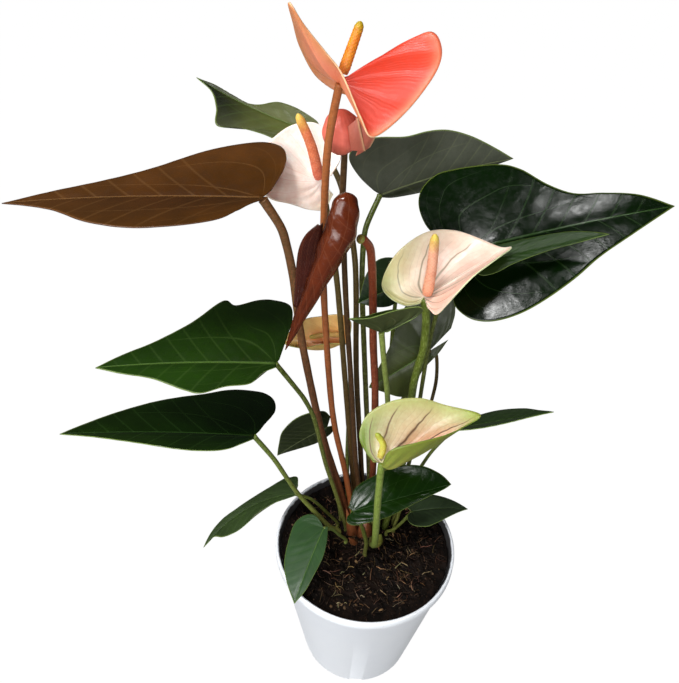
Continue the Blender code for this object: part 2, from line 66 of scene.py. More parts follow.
class Slot(Enum):
    """The record's material slots."""

    POT = "pot_plastic"
    SOIL = "soil"
    LEAF = "leaf_green"
    BRONZE = "leaf_bronze"
    GREEN_STALK = "stalk_green"
    DARK_STALK = "stalk_dark"
    RED_STALK = "stalk_red"
    CORAL = "spathe_coral"
    BLUSH = "spathe_blush"
    CREAM = "spathe_cream"
    OLIVE = "spathe_olive"
    ORANGE_SPIKE = "spadix_orange"
    PEACH_SPIKE = "spadix_peach"
    YELLOW_SPIKE = "spadix_yellow"


# ---------------------------------------------------------------- shader nodes

class Graph:
    """Places shader nodes in a tree and joins them up."""

    def __init__(self, tree: bpy.types.NodeTree) -> None:
        self.tree = tree

    def node(self, kind: str, **settings: object) -> bpy.types.Node:
        """A new node with its settings made."""
        made = self.tree.nodes.new(kind)
        for name, value in settings.items():
            setattr(made, name, value)
        return made

    def feed(self, socket: bpy.types.NodeSocket, value: object) -> None:
        """Joins an output to an input, or sets the input's own value."""
        if isinstance(value, bpy.types.NodeSocket):
            self.tree.links.new(value, socket)
        elif socket.type == "RGBA":
            socket.default_value = (*value[:3], 1.0)
        else:
            socket.default_value = value

    def maths(self, operation: str, *values: object, clamp: bool = False) -> bpy.types.NodeSocket:
        """A Math node on up to three values."""
        made = self.node("ShaderNodeMath", operation=operation, use_clamp=clamp)
        for socket, value in zip(made.inputs, values):
            self.feed(socket, value)
        return made.outputs[0]

    def ease(self, value: object, low: object, high: object, first: float = 0.0,
             last: float = 1.0) -> bpy.types.NodeSocket:
        """A smooth change from first to last as a value goes from low to high."""
        made = self.node("ShaderNodeMapRange", interpolation_type="SMOOTHSTEP")
        for socket, item in zip(made.inputs, (value, low, high, first, last)):
            self.feed(socket, item)
        return made.outputs["Result"]

    def mix(self, share: object, first: object, second: object, how: str = "MIX") -> bpy.types.NodeSocket:
        """A mix of two colours."""
        made = self.node("ShaderNodeMix", data_type="RGBA", blend_type=how)
        for index, value in ((0, share), (6, first), (7, second)):
            self.feed(made.inputs[index], value)
        return made.outputs[2]

    def noise(self, vector: object, scale: object, detail: float = 3.0, rough: float = 0.55,
              bend: float = 0.0) -> bpy.types.NodeSocket:
        """A cloudy value from 0 to 1."""
        made = self.node("ShaderNodeTexNoise")
        self.feed(made.inputs["Vector"], vector)
        self.feed(made.inputs["Scale"], scale)
        self.feed(made.inputs["Detail"], detail)
        self.feed(made.inputs["Roughness"], rough)
        self.feed(made.inputs["Distortion"], bend)
        return made.outputs[0]

    def stretch(self, vector: object, scale: Point) -> bpy.types.NodeSocket:
        """A vector with each of its axes scaled."""
        made = self.node("ShaderNodeMapping")
        self.feed(made.inputs["Vector"], vector)
        self.feed(made.inputs["Scale"], scale)
        return made.outputs[0]

    def parts(self, vector: object) -> tuple[bpy.types.NodeSocket, ...]:
        """The X, Y and Z of a vector."""
        made = self.node("ShaderNodeSeparateXYZ")
        self.feed(made.inputs[0], vector)
        return tuple(made.outputs)

    def place(self) -> bpy.types.NodeSocket:
        """Object coordinates, in metres."""
        return self.node("ShaderNodeTexCoord").outputs["Object"]

    def uv(self, name: str) -> bpy.types.NodeSocket:
        """One of a piece's own UV maps."""
        return self.node("ShaderNodeUVMap", uv_map=name).outputs[0]

    def paint(self, name: str) -> bpy.types.NodeSocket:
        """A colour that is painted on a piece's points."""
        return self.node("ShaderNodeAttribute", attribute_name=name).outputs["Color"]

    def bump(self, height: object, strength: float, depth: float) -> bpy.types.NodeSocket:
        """A normal from a height. The depth is in millimetres."""
        made = self.node("ShaderNodeBump")
        self.feed(made.inputs["Height"], height)
        self.feed(made.inputs["Strength"], strength)
        self.feed(made.inputs["Distance"], depth * MM)
        return made.outputs[0]

    def group(self, shared: bpy.types.NodeTree, **values: object) -> bpy.types.Node:
        """A shared group with its inputs fed."""
        made = self.node("ShaderNodeGroup", node_tree=shared)
        for name, value in values.items():
            self.feed(made.inputs[name], value)
        return made


def new_group(name: str, takes: dict[str, str], gives: tuple[str, ...]) -> tuple[Graph, dict, dict]:
    """An empty shader group.

    Args:
        name: The group's name.
        takes: Its inputs, as name and kind ("Vector" or "Float").
        gives: Its outputs, each a value.

    Returns:
        Its graph, its inputs by name, and its output sockets by name.
    """
    tree = bpy.data.node_groups.new(name, "ShaderNodeTree")
    for item, kind in takes.items():
        tree.interface.new_socket(name=item, in_out="INPUT", socket_type=f"NodeSocket{kind}")
    for item in gives:
        tree.interface.new_socket(name=item, in_out="OUTPUT", socket_type="NodeSocketFloat")
    graph = Graph(tree)
    start = graph.node("NodeGroupInput")
    end = graph.node("NodeGroupOutput")
    return graph, {item: start.outputs[item] for item in takes}, {item: end.inputs[item] for item in gives}


class Effects:
    """The shader groups that several finishes share."""

    def __init__(self) -> None:
        self.ribs = self.make_ribs()
        self.nerves = self.make_nerves()
        self.mottle = self.make_mottle()
        self.skin = self.make_skin()

    @staticmethod
    def make_ribs() -> bpy.types.NodeTree:
        """Side veins that leave a midrib at a slant, for a map of (ahead, aside)."""
        graph, given, out = new_group("ribs", {"Map": "Vector", "Count": "Float", "Slant": "Float",
                                               "Width": "Float"}, ("Lines", "Midrib", "Between"))
        ahead, aside, _ = graph.parts(given["Map"])
        away = graph.maths("ABSOLUTE", aside)
        lean = graph.maths("MULTIPLY", given["Slant"], away)
        curve = graph.maths("MULTIPLY", lean, graph.maths("MULTIPLY", away, 0.35))
        start = graph.maths("ADD", graph.maths("SUBTRACT", ahead, lean), curve)
        shift = graph.maths("MULTIPLY", graph.maths("GREATER_THAN", aside, 0.0), 0.5)
        count = graph.maths("MULTIPLY_ADD", start, given["Count"], shift)
        near = graph.maths("ABSOLUTE", graph.maths("SUBTRACT", count, graph.maths("ROUND", count)))
        fade = graph.maths("MULTIPLY", graph.ease(start, 0.0, 0.12),
                           graph.maths("MULTIPLY", graph.ease(ahead, 0.8, 0.97, 1.0, 0.0),
                                       graph.ease(away, 0.55, 0.98, 1.0, 0.0)))
        line = graph.ease(near, 0.0, given["Width"], 1.0, 0.0)
        graph.feed(out["Lines"], graph.maths("MULTIPLY", line, fade))
        graph.feed(out["Between"], graph.maths("MULTIPLY", graph.ease(near, 0.0, 0.45), fade))
        thin = graph.maths("MULTIPLY_ADD", ahead, -0.016, 0.026)
        rib = graph.ease(away, graph.maths("MULTIPLY", thin, 0.3), thin, 1.0, 0.0)
        graph.feed(out["Midrib"], graph.maths("MULTIPLY", rib, graph.ease(ahead, -0.01, 0.02)))
        return graph.tree

    @staticmethod
    def make_nerves() -> bpy.types.NodeTree:
        """Veins that fan out from a base and bend to a tip, for a map of (round, out)."""
        graph, given, out = new_group("nerves", {"Map": "Vector", "Count": "Float", "Bend": "Float",
                                                 "Width": "Float"}, ("Lines", "Between"))
        turn, reach, _ = graph.parts(given["Map"])
        square = graph.maths("MULTIPLY", reach, reach)
        gather = graph.maths("MULTIPLY_ADD", square, given["Bend"], 1.0)
        count = graph.maths("MULTIPLY", graph.maths("MULTIPLY", turn, gather), given["Count"])
        near = graph.maths("ABSOLUTE", graph.maths("SUBTRACT", count, graph.maths("ROUND", count)))
        width = graph.maths("DIVIDE", given["Width"], graph.maths("ADD", reach, 0.15))
        fade = graph.maths("MULTIPLY", graph.ease(reach, 0.0, 0.08), graph.ease(reach, 0.8, 0.97, 1.0, 0.0))
        graph.feed(out["Lines"], graph.maths("MULTIPLY", graph.ease(near, 0.0, width, 1.0, 0.0), fade))
        graph.feed(out["Between"], graph.maths("MULTIPLY", graph.ease(near, 0.0, 0.5), fade))
        return graph.tree

    @staticmethod
    def make_mottle() -> bpy.types.NodeTree:
        """Clouds of two sizes, for colour that is never quite even."""
        graph, given, out = new_group("mottle", {"Place": "Vector", "Scale": "Float"}, ("Broad", "Fine"))
        fine = graph.maths("MULTIPLY", given["Scale"], 6.0)
        graph.feed(out["Broad"], graph.ease(graph.noise(given["Place"], given["Scale"]), 0.3, 0.7))
        graph.feed(out["Fine"], graph.ease(graph.noise(given["Place"], fine, 4.0), 0.3, 0.7))
        return graph.tree

    @staticmethod
    def make_skin() -> bpy.types.NodeTree:
        """The fine cells and slight waves of a leaf's skin, as a height."""
        graph, given, out = new_group("skin", {"Place": "Vector", "Scale": "Float"}, ("Height",))
        cells = graph.node("ShaderNodeTexVoronoi", feature="SMOOTH_F1")
        graph.feed(cells.inputs["Vector"], given["Place"])
        graph.feed(cells.inputs["Scale"], given["Scale"])
        waves = graph.noise(given["Place"], graph.maths("MULTIPLY", given["Scale"], 0.12), 2.0)
        graph.feed(out["Height"], graph.maths("MULTIPLY_ADD", cells.outputs[0], 0.12, waves))
        return graph.tree


def new_material(name: str) -> tuple[bpy.types.Material, Graph, bpy.types.Node]:
    """A material, its graph and its Principled shader."""
    material = bpy.data.materials.new(name)
    material.use_nodes = True
    graph = Graph(material.node_tree)
    return material, graph, material.node_tree.nodes["Principled BSDF"]


EFFECTS = Effects()


# ---------------------------------------------------------------- finishes

@dataclass(frozen=True)
class BladeFinish:
    """One side of a waxy leaf: painted colour, a midrib, side veins and nerves."""

    name: str
    vein: Colour
    paint: str = "upper"
    vein_share: float = 0.2
    rib_share: float = 0.6
    ribs: float = 8.0
    roughness: float = 0.34
    coat: float = 0.05
    relief: float = 0.3
    shine: float = 0.25
    crumple: float = 0.0
    rim: Colour = tone(120, 140, 60)

    def build(self) -> bpy.types.Material:
        """The material."""
        material, graph, shader = new_material(self.name)
        place = graph.place()
        ribs = graph.group(EFFECTS.ribs, Map=graph.uv("blade"), Count=self.ribs, Slant=0.42, Width=0.09)
        nerves = graph.group(EFFECTS.nerves, Map=graph.uv("fan"), Count=3.0, Bend=1.1, Width=0.022)
        mottle = graph.group(EFFECTS.mottle, Place=place, Scale=45.0)
        skin = graph.group(EFFECTS.skin, Place=place, Scale=900.0)
        _, reach, _ = graph.parts(graph.uv("fan"))

        base = graph.paint(self.paint)
        shade = graph.mix(1.0, base, tone(196, 200, 190), "MULTIPLY")
        body = graph.mix(graph.maths("MULTIPLY", mottle.outputs["Broad"], 0.7), base, shade)
        body = graph.mix(graph.maths("MULTIPLY", mottle.outputs["Fine"], 0.25), body, shade)
        lines = graph.maths("MAXIMUM", graph.maths("MULTIPLY", ribs.outputs["Lines"], 0.6),
                            graph.maths("MULTIPLY", nerves.outputs["Lines"], 0.8))
        body = graph.mix(graph.maths("MULTIPLY", lines, self.vein_share), body, self.vein)
        body = graph.mix(graph.maths("MULTIPLY", ribs.outputs["Midrib"], self.rib_share), body, self.vein)
        edge = graph.ease(reach, 0.978, 0.995)
        body = graph.mix(graph.maths("MULTIPLY", edge, 0.5), body, self.rim)
        graph.feed(shader.inputs["Base Color"], body)

        gloss = graph.maths("MULTIPLY_ADD", mottle.outputs["Fine"], 0.12, self.roughness)
        graph.feed(shader.inputs["Roughness"], graph.maths("MULTIPLY_ADD", lines, 0.1, gloss))
        shader.inputs["Specular IOR Level"].default_value = self.shine
        shader.inputs["Coat Weight"].default_value = self.coat
        shader.inputs["Coat Roughness"].default_value = 0.16
        swell = graph.maths("MULTIPLY_ADD", ribs.outputs["Between"], 0.3,
                            graph.maths("MULTIPLY", nerves.outputs["Between"], 0.3))
        height = graph.maths("MULTIPLY_ADD", skin.outputs["Height"], 0.6, swell)
        height = graph.maths("MULTIPLY_ADD", ribs.outputs["Midrib"], -0.7, height)
        creases = graph.noise(place, 75.0, 3.0, 0.5, 1.0)
        height = graph.maths("MULTIPLY_ADD", creases, self.crumple, height)
        graph.feed(shader.inputs["Normal"], graph.bump(height, 0.6, self.relief))
        return material


@dataclass(frozen=True)
class PetalFinish:
    """One side of a spathe: painted colour, fanned veins and a soft waxy skin."""

    name: str
    vein: Colour
    paint: str = "upper"
    vein_share: float = 0.5
    count: float = 4.0
    width: float = 0.012
    bend: float = 0.5
    grain: float = 0.12
    roughness: float = 0.33
    coat: float = 0.1
    relief: float = 0.3

    def build(self) -> bpy.types.Material:
        """The material."""
        material, graph, shader = new_material(self.name)
        place = graph.place()
        fan = graph.uv("fan")
        wander = graph.noise(place, 60.0, 2.0)
        turn, reach, _ = graph.parts(fan)
        joined = graph.node("ShaderNodeCombineXYZ")
        graph.feed(joined.inputs[0], graph.maths("ADD", turn, graph.maths(
            "MULTIPLY", graph.maths("SUBTRACT", wander, 0.5), 0.1)))
        graph.feed(joined.inputs[1], reach)
        nerves = graph.group(EFFECTS.nerves, Map=joined.outputs[0], Count=self.count, Bend=self.bend,
                             Width=self.width)
        small = graph.group(EFFECTS.nerves, Map=joined.outputs[0], Count=self.count * 4.0,
                            Bend=self.bend, Width=0.05)
        mottle = graph.group(EFFECTS.mottle, Place=place, Scale=90.0)
        skin = graph.group(EFFECTS.skin, Place=place, Scale=1300.0)

        base = graph.paint(self.paint)
        shade = graph.mix(1.0, base, tone(236, 216, 206), "MULTIPLY")
        body = graph.mix(graph.maths("MULTIPLY", mottle.outputs["Broad"], 0.5), base, shade)
        body = graph.mix(graph.maths("MULTIPLY", mottle.outputs["Fine"], self.grain * 3), body, shade)
        body = graph.mix(graph.maths("MULTIPLY", small.outputs["Lines"], 0.3 * self.vein_share), body,
                         self.vein)
        body = graph.mix(graph.maths("MULTIPLY", nerves.outputs["Lines"], self.vein_share), body, self.vein)
        graph.feed(shader.inputs["Base Color"], body)
        graph.feed(shader.inputs["Roughness"],
                   graph.maths("MULTIPLY_ADD", mottle.outputs["Fine"], 0.15, self.roughness))
        shader.inputs["Coat Weight"].default_value = self.coat
        shader.inputs["Coat Roughness"].default_value = 0.25
        shader.inputs["Subsurface Weight"].default_value = 0.12
        shader.inputs["Subsurface Radius"].default_value = (1.0, 0.5, 0.35)
        shader.inputs["Subsurface Scale"].default_value = 1.2 * MM
        height = graph.maths("MULTIPLY_ADD", nerves.outputs["Between"], 0.5,
                             graph.maths("MULTIPLY", small.outputs["Between"], 0.18))
        height = graph.maths("MULTIPLY_ADD", skin.outputs["Height"], 0.35, height)
        graph.feed(shader.inputs["Normal"], graph.bump(height, 0.5, self.relief))
        return material


@dataclass(frozen=True)
class StalkFinish:
    """A smooth stalk with faint streaks along it and small pale specks."""

    name: str
    streak: Colour
    roughness: float = 0.34
    specks: float = 0.35

    def build(self) -> bpy.types.Material:
        """The material."""
        material, graph, shader = new_material(self.name)
        place = graph.place()
        wrap = graph.uv("wrap")
        streaks = graph.noise(graph.stretch(wrap, (9.0, 1.4, 1.0)), 3.0, 4.0)
        blotches = graph.noise(graph.stretch(wrap, (1.6, 5.0, 1.0)), 2.0, 3.0)
        grains = graph.noise(graph.stretch(place, (1.0, 1.0, 0.35)), 1500.0, 2.0)
        base = graph.paint("upper")
        share = graph.maths("MULTIPLY", graph.ease(streaks, 0.42, 0.72), 0.55)
        body = graph.mix(share, base, self.streak)
        dark = graph.mix(1.0, base, tone(180, 165, 150), "MULTIPLY")
        body = graph.mix(graph.maths("MULTIPLY", graph.ease(blotches, 0.45, 0.7), 0.5), body, dark)
        dots = graph.maths("MULTIPLY", graph.ease(grains, 0.68, 0.76), self.specks)
        body = graph.mix(dots, body, tone(190, 170, 120))
        graph.feed(shader.inputs["Base Color"], body)
        graph.feed(shader.inputs["Roughness"],
                   graph.maths("MULTIPLY_ADD", streaks, 0.25, self.roughness - 0.1))
        shader.inputs["Coat Weight"].default_value = 0.05
        shader.inputs["Coat Roughness"].default_value = 0.3
        shader.inputs["Specular IOR Level"].default_value = 0.3
        height = graph.maths("MULTIPLY_ADD", grains, 0.25, streaks)
        graph.feed(shader.inputs["Normal"], graph.bump(height, 0.4, 0.2))
        return material


@dataclass(frozen=True)
class SpikeFinish:
    """A spadix: packed tiny flowers with dots of pollen."""

    name: str
    dot: Colour

    def build(self) -> bpy.types.Material:
        """The material."""
        material, graph, shader = new_material(self.name)
        place = graph.place()
        cells = graph.node("ShaderNodeTexVoronoi", feature="F1")
        graph.feed(cells.inputs["Vector"], place)
        graph.feed(cells.inputs["Scale"], 1100.0)
        spots = graph.ease(cells.outputs[0], 0.1, 0.35, 1.0, 0.0)
        cloud = graph.noise(place, 300.0, 3.0)
        base = graph.paint("upper")
        deep = graph.mix(1.0, base, tone(225, 180, 165), "MULTIPLY")
        body = graph.mix(graph.maths("MULTIPLY", graph.ease(cloud, 0.35, 0.7), 0.6), base, deep)
        body = graph.mix(graph.maths("MULTIPLY", spots, 0.4), body, self.dot)
        graph.feed(shader.inputs["Base Color"], body)
        graph.feed(shader.inputs["Roughness"], graph.maths("MULTIPLY_ADD", cloud, 0.2, 0.38))
        shader.inputs["Subsurface Weight"].default_value = 0.1
        shader.inputs["Subsurface Radius"].default_value = (1.0, 0.6, 0.3)
        shader.inputs["Subsurface Scale"].default_value = 1.0 * MM
        graph.feed(shader.inputs["Normal"],
                   graph.bump(graph.maths("MULTIPLY_ADD", spots, 0.8, cloud), 0.5, 0.25))
        return material


@dataclass(frozen=True)
class RimFinish:
    """The cut edge of a leaf or spathe."""

    name: str
    colour: Colour
    roughness: float = 0.4

    def build(self) -> bpy.types.Material:
        """The material."""
        material, graph, shader = new_material(self.name)
        cloud = graph.noise(graph.place(), 220.0, 3.0)
        dark = tuple(value * 0.6 for value in self.colour)
        graph.feed(shader.inputs["Base Color"], graph.mix(graph.ease(cloud, 0.35, 0.75), self.colour, dark))
        graph.feed(shader.inputs["Roughness"], graph.maths("MULTIPLY_ADD", cloud, 0.15, self.roughness))
        return material


@dataclass(frozen=True)
class PlasticFinish:
    """Moulded white plastic with a faint orange peel, light scuffs and soil dust."""

    name: str
    colour: Colour = tone(240, 244, 250)

    def build(self) -> bpy.types.Material:
        """The material."""
        material, graph, shader = new_material(self.name)
        place = graph.place()
        peel = graph.noise(place, 420.0, 2.0)
        cloud = graph.noise(place, 22.0, 3.0)
        scuffs = graph.ease(graph.noise(graph.stretch(place, (1.0, 1.0, 7.0)), 160.0, 5.0, 0.7), 0.62, 0.78)
        _, _, height = graph.parts(place)
        across, deep, _ = graph.parts(place)
        away = graph.maths("SQRT", graph.maths("ADD", graph.maths("MULTIPLY", across, across),
                                               graph.maths("MULTIPLY", deep, deep)))
        inside = graph.maths("MULTIPLY", graph.ease(away, 0.0581, 0.0586, 1.0, 0.0), graph.ease(
            graph.maths("MULTIPLY_ADD", graph.noise(place, 260.0, 4.0), 0.004, height), 0.1105, 0.112, 1.0,
            0.0))
        inside = graph.maths("MULTIPLY", inside, graph.ease(height, 0.1031, 0.1034))
        dusty = graph.maths("MULTIPLY", graph.ease(height, 0.101, 0.106),
                            graph.ease(graph.noise(place, 700.0, 4.0), 0.56, 0.72))
        body = graph.mix(graph.maths("MULTIPLY", graph.ease(cloud, 0.35, 0.7), 0.35), self.colour,
                         tone(230, 235, 243))
        body = graph.mix(graph.maths("MULTIPLY", scuffs, 0.18), body, tone(196, 200, 208))
        body = graph.mix(graph.maths("MULTIPLY", dusty, 0.22), body, tone(120, 96, 76))
        body = graph.mix(graph.maths("MULTIPLY", inside, 0.96), body, tone(20, 13, 9))
        graph.feed(shader.inputs["Base Color"], body)
        rough = graph.maths("MULTIPLY_ADD", scuffs, 0.2, graph.maths("MULTIPLY_ADD", cloud, 0.12, 0.27))
        graph.feed(shader.inputs["Roughness"], rough)
        shader.inputs["Subsurface Weight"].default_value = 0.15
        shader.inputs["Subsurface Radius"].default_value = (1.0, 1.0, 1.0)
        shader.inputs["Subsurface Scale"].default_value = 1.5 * MM
        relief = graph.maths("MULTIPLY_ADD", scuffs, -0.3, peel)
        graph.feed(shader.inputs["Normal"], graph.bump(relief, 0.25, 0.12))
        return material


@dataclass(frozen=True)
class EarthFinish:
    """Damp coir: dark crumbs with paler fibres and specks."""

    name: str
    painted: bool = False
    dark: Colour = tone(9, 5, 3)
    pale: Colour = tone(30, 19, 13)
    roughness: float = 0.9

    def build(self) -> bpy.types.Material:
        """The material."""
        material, graph, shader = new_material(self.name)
        place = graph.place()
        lumps = graph.noise(place, 130.0, 6.0, 0.65, 0.6)
        threads = graph.noise(graph.stretch(place, (1.0, 0.22, 1.0)), 900.0, 4.0, 0.6, 1.2)
        damp = graph.ease(graph.noise(place, 26.0, 3.0), 0.35, 0.65)
        if self.painted:
            base = graph.paint("upper")
            pale = graph.mix(1.0, base, tone(255, 222, 190), "SCREEN")
            body = graph.mix(graph.maths("MULTIPLY", graph.ease(threads, 0.5, 0.75), 0.1), base, pale)
        else:
            body = graph.mix(graph.ease(lumps, 0.42, 0.72), self.dark, self.pale)
            body = graph.mix(graph.maths("MULTIPLY", graph.ease(threads, 0.62, 0.74), 0.5), body,
                             tone(92, 66, 44))
        wet = graph.mix(1.0, body, tone(170, 160, 150), "MULTIPLY")
        body = graph.mix(graph.maths("MULTIPLY", damp, 0.5), body, wet)
        graph.feed(shader.inputs["Base Color"], body)
        graph.feed(shader.inputs["Roughness"], graph.maths("MULTIPLY_ADD", damp, -0.25, self.roughness))
        shader.inputs["Specular IOR Level"].default_value = 0.12
        height = graph.maths("MULTIPLY_ADD", threads, 0.5, lumps)
        graph.feed(shader.inputs["Normal"], graph.bump(height, 0.9, 1.2))
        return material


# ---------------------------------------------------------------- meshes

def smooth_rows(rows: list, count: int) -> np.ndarray:
    """Rows of numbers read along a smooth curve.

    Args:
        rows: The rows that the curve goes through.
        count: How many equal steps it is read at.

    Returns:
        count + 1 rows.
    """
    rows = np.array(rows, float)
    padded = np.concatenate([[2 * rows[0] - rows[1]], rows, [2 * rows[-1] - rows[-2]]])
    place = np.linspace(0, len(rows) - 1, count + 1)
    start = np.minimum(place.astype(int), len(rows) - 2)
    t = (place - start)[:, None]
    a, b, c, d = (padded[start + k] for k in range(4))
    return 0.5 * (2 * b + (c - a) * t + (2 * a - 5 * b + 4 * c - d) * t ** 2
                  + (3 * b - a - 3 * c + d) * t ** 3)


def shaped_grid(name: str, points: np.ndarray, maps: dict[str, np.ndarray] | None = None,
                paints: dict[str, np.ndarray] | None = None) -> bpy.types.Object:
    """A grid whose points are put in place, with its seams and poles closed.

    Args:
        name: The object's name.
        points: Where each point of the grid goes, by row and column, in millimetres.
        maps: UV maps by name, by row and column.
        paints: Colours by name, by row and column.

    Returns:
        The object.
    """
    rows, columns = points.shape[0] - 1, points.shape[1] - 1
    mesh = bmesh.new()
    bmesh.ops.create_grid(mesh, x_segments=columns, y_segments=rows, size=1.0)
    spot = {}
    for vertex in mesh.verts:
        column = round((vertex.co.x + 1) / 2 * columns)
        row = round((vertex.co.y + 1) / 2 * rows)
        spot[vertex.index] = (row, column)
        vertex.co = Vector(points[row, column]) * MM
    for item, values in (maps or {}).items():
        layer = mesh.loops.layers.uv.new(item)
        for face in mesh.faces:
            for loop in face.loops:
                loop[layer].uv = values[spot[loop.vert.index]]
    for item, values in (paints or {}).items():
        layer = mesh.verts.layers.float_color.new(item)
        for vertex in mesh.verts:
            vertex[layer] = (*values[spot[vertex.index]], 1.0)
    bmesh.ops.remove_doubles(mesh, verts=mesh.verts, dist=0.004 * MM)
    return finished_object(name, mesh)


def finished_object(name: str, mesh: bmesh.types.BMesh, smooth: bool = True) -> bpy.types.Object:
    """Puts a bmesh in a new object at the origin."""
    for face in mesh.faces:
        face.smooth = smooth
    data = bpy.data.meshes.new(name)
    mesh.to_mesh(data)
    mesh.free()
    piece = bpy.data.objects.new(name, data)
    bpy.context.scene.collection.objects.link(piece)
    return piece


def thicken(piece: bpy.types.Object, thickness: float, materials: list[bpy.types.Material]) -> None:
    """Gives a sheet its thickness, with its own finish above, below and at the edge."""
    for material in materials:
        piece.data.materials.append(material)
    solidify = piece.modifiers.new("thickness", "SOLIDIFY")
    solidify.thickness = thickness * MM
    solidify.offset = 0.0
    solidify.material_offset = min(1, len(materials) - 1)
    solidify.material_offset_rim = min(2, len(materials) - 1)


def hand_in(piece: bpy.types.Object, slot: Slot, *nodes: str) -> None:
    """Fixes a piece to the model's body and puts it in place of its solids."""
    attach(piece, BODY)
    if nodes:
        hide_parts(*nodes)
    LOG.info("%s: %d points", piece.name, len(piece.data.vertices))


def carried_frames(route: list[Vector]) -> list[tuple[Vector, Vector]]:
    """Two directions across a route at each of its points, turning as little as they can."""
    frames = []
    side = Vector((1, 0, 0))
    for index in range(len(route)):
        ahead = (route[min(index + 1, len(route) - 1)] - route[max(index - 1, 0)]).normalized()
        side = (side - ahead * side.dot(ahead)).normalized()
        frames.append((side, ahead.cross(side)))
    return frames


def tube_points(route: list[Vector], widths: np.ndarray, sides: int) -> np.ndarray:
    """Points round a route, closed at both ends.

    Args:
        route: The centre line, in millimetres.
        widths: The radius at each of its points, for each side or for all.
        sides: How many points go round.

    Returns:
        Points by row along the route and by column round it.
    """
    turns = np.linspace(0, 2 * math.pi, sides + 1)
    rows = [np.repeat(np.array(route[0])[None], sides + 1, 0)]
    for centre, (side, other), width in zip(route, carried_frames(route), widths):
        ring = np.cos(turns)[:, None] * np.array(side) + np.sin(turns)[:, None] * np.array(other)
        rows.append(np.array(centre) + ring * np.reshape(width, (-1, 1)))
    rows.append(np.repeat(np.array(route[-1])[None], sides + 1, 0))
    return np.array(rows)


def wrap_map(rows: int, columns: int, length: float) -> np.ndarray:
    """A UV map of (turns round, centimetres along)."""
    along, round_ = np.meshgrid(np.linspace(0, length / 10, rows), np.linspace(0, 1, columns), indexing="ij")
    return np.stack([round_, along], -1)


@dataclass(frozen=True)
class Patch:
    """A soft patch of colour on a sheet, at (round, out) of its fan map."""

    colour: Colour
    at: tuple[float, float]
    size: tuple[float, float]
    share: float = 1.0


def painted(base: Colour, patches: tuple[Patch, ...], fan: np.ndarray) -> np.ndarray:
    """A colour for each point of a fan map: a base colour under soft patches."""
    colour = np.broadcast_to(np.array(base, float), (*fan.shape[:2], 3)).copy()
    for patch in patches:
        gap = (fan - patch.at) / patch.size
        weight = (patch.share * np.exp(-(gap ** 2).sum(-1)))[..., None]
        colour = colour * (1 - weight) + np.array(patch.colour) * weight
    return colour


# ---------------------------------------------------------------- pot and soil

@dataclass
class Pot:
    """The turned nursery pot, with a rolled lip and drain notches round its foot."""

    rim: float = 60.0
    foot: float = 40.0
    height: float = 110.0
    wall: float = 1.4
    lip: float = 7.0
    step: float = 1.0
    steps: int = 160
    notches: int = 6
    notch: Point = (10.0, 9.0, 7.0)
    finish: PlasticFinish = field(default_factory=lambda: PlasticFinish("white_plastic"))

    def profile(self) -> list[tuple[float, float]]:
        """The wall's section as (radius, height), from the middle of the base and back to it."""
        under = self.height - self.lip
        top = self.foot + (self.rim - self.step - self.foot) * under / self.height
        inner = self.foot - self.wall
        return [(0, 0.8), (22, 0.8), (24, 0), (self.foot - 1.2, 0), (self.foot - 0.4, 0.3),
                (self.foot, 1.2), (top - 0.15, under - 0.5), (top + 0.2, under),
                (self.rim - 0.5, under + 0.5), (self.rim, under + 1.3), (self.rim, self.height - 1.0),
                (self.rim - 0.3, self.height - 0.3), (self.rim - 0.8, self.height),
                (self.rim - 1.4, self.height - 0.1), (self.rim - 1.9, self.height - 0.7),
                (top - self.wall, under), (inner, self.wall + 1.2), (inner - 1.2, self.wall + 0.2),
                (0, self.wall + 0.4)]

    def build(self) -> None:
        """Turns the wall, cuts the notches and puts the pot in place of its solid."""
        mesh = bmesh.new()
        points = [mesh.verts.new((radius * MM, 0, height * MM)) for radius, height in self.profile()]
        edges = [mesh.edges.new(pair) for pair in zip(points, points[1:])]
        bmesh.ops.spin(mesh, geom=points + edges, cent=(0, 0, 0), axis=(0, 0, 1), angle=2 * math.pi,
                       steps=self.steps, use_merge=True)
        bmesh.ops.remove_doubles(mesh, verts=mesh.verts, dist=0.01 * MM)
        bmesh.ops.recalc_face_normals(mesh, faces=mesh.faces)
        pot = finished_object("pot_wall", mesh)
        self.cut_notches(pot)
        pot.data.materials.append(self.finish.build())
        bevel = pot.modifiers.new("soft_edges", "BEVEL")
        bevel.width = 0.25 * MM
        bevel.segments = 2
        bevel.limit_method = "ANGLE"
        bevel.angle_limit = math.radians(50)
        hand_in(pot, Slot.POT, "pot")

    def cut_notches(self, pot: bpy.types.Object) -> None:
        """Cuts the drain notches and keeps the cut mesh."""
        cutters = bmesh.new()
        for index in range(self.notches):
            turn = Matrix.Rotation(2 * math.pi * (index + 0.5) / self.notches, 4, "Z")
            size = Matrix.Diagonal((*(value * MM for value in self.notch), 1))
            out = Matrix.Translation((self.foot * MM, 0, 0))
            bmesh.ops.create_cube(cutters, size=1.0, matrix=turn @ out @ size)
        tool = finished_object("notch_tool", cutters)
        cut = pot.modifiers.new("notches", "BOOLEAN")
        cut.solver = "EXACT"
        cut.object = tool
        bpy.context.view_layer.update()
        shaped = pot.evaluated_get(bpy.context.evaluated_depsgraph_get())
        mesh = bpy.data.meshes.new_from_object(shaped)
        pot.modifiers.clear()
        pot.data = mesh
        pot.data.polygons.foreach_set("use_smooth", [True] * len(mesh.polygons))
        bpy.data.objects.remove(tool)
        pot.data.set_sharp_from_angle(angle=math.radians(40))


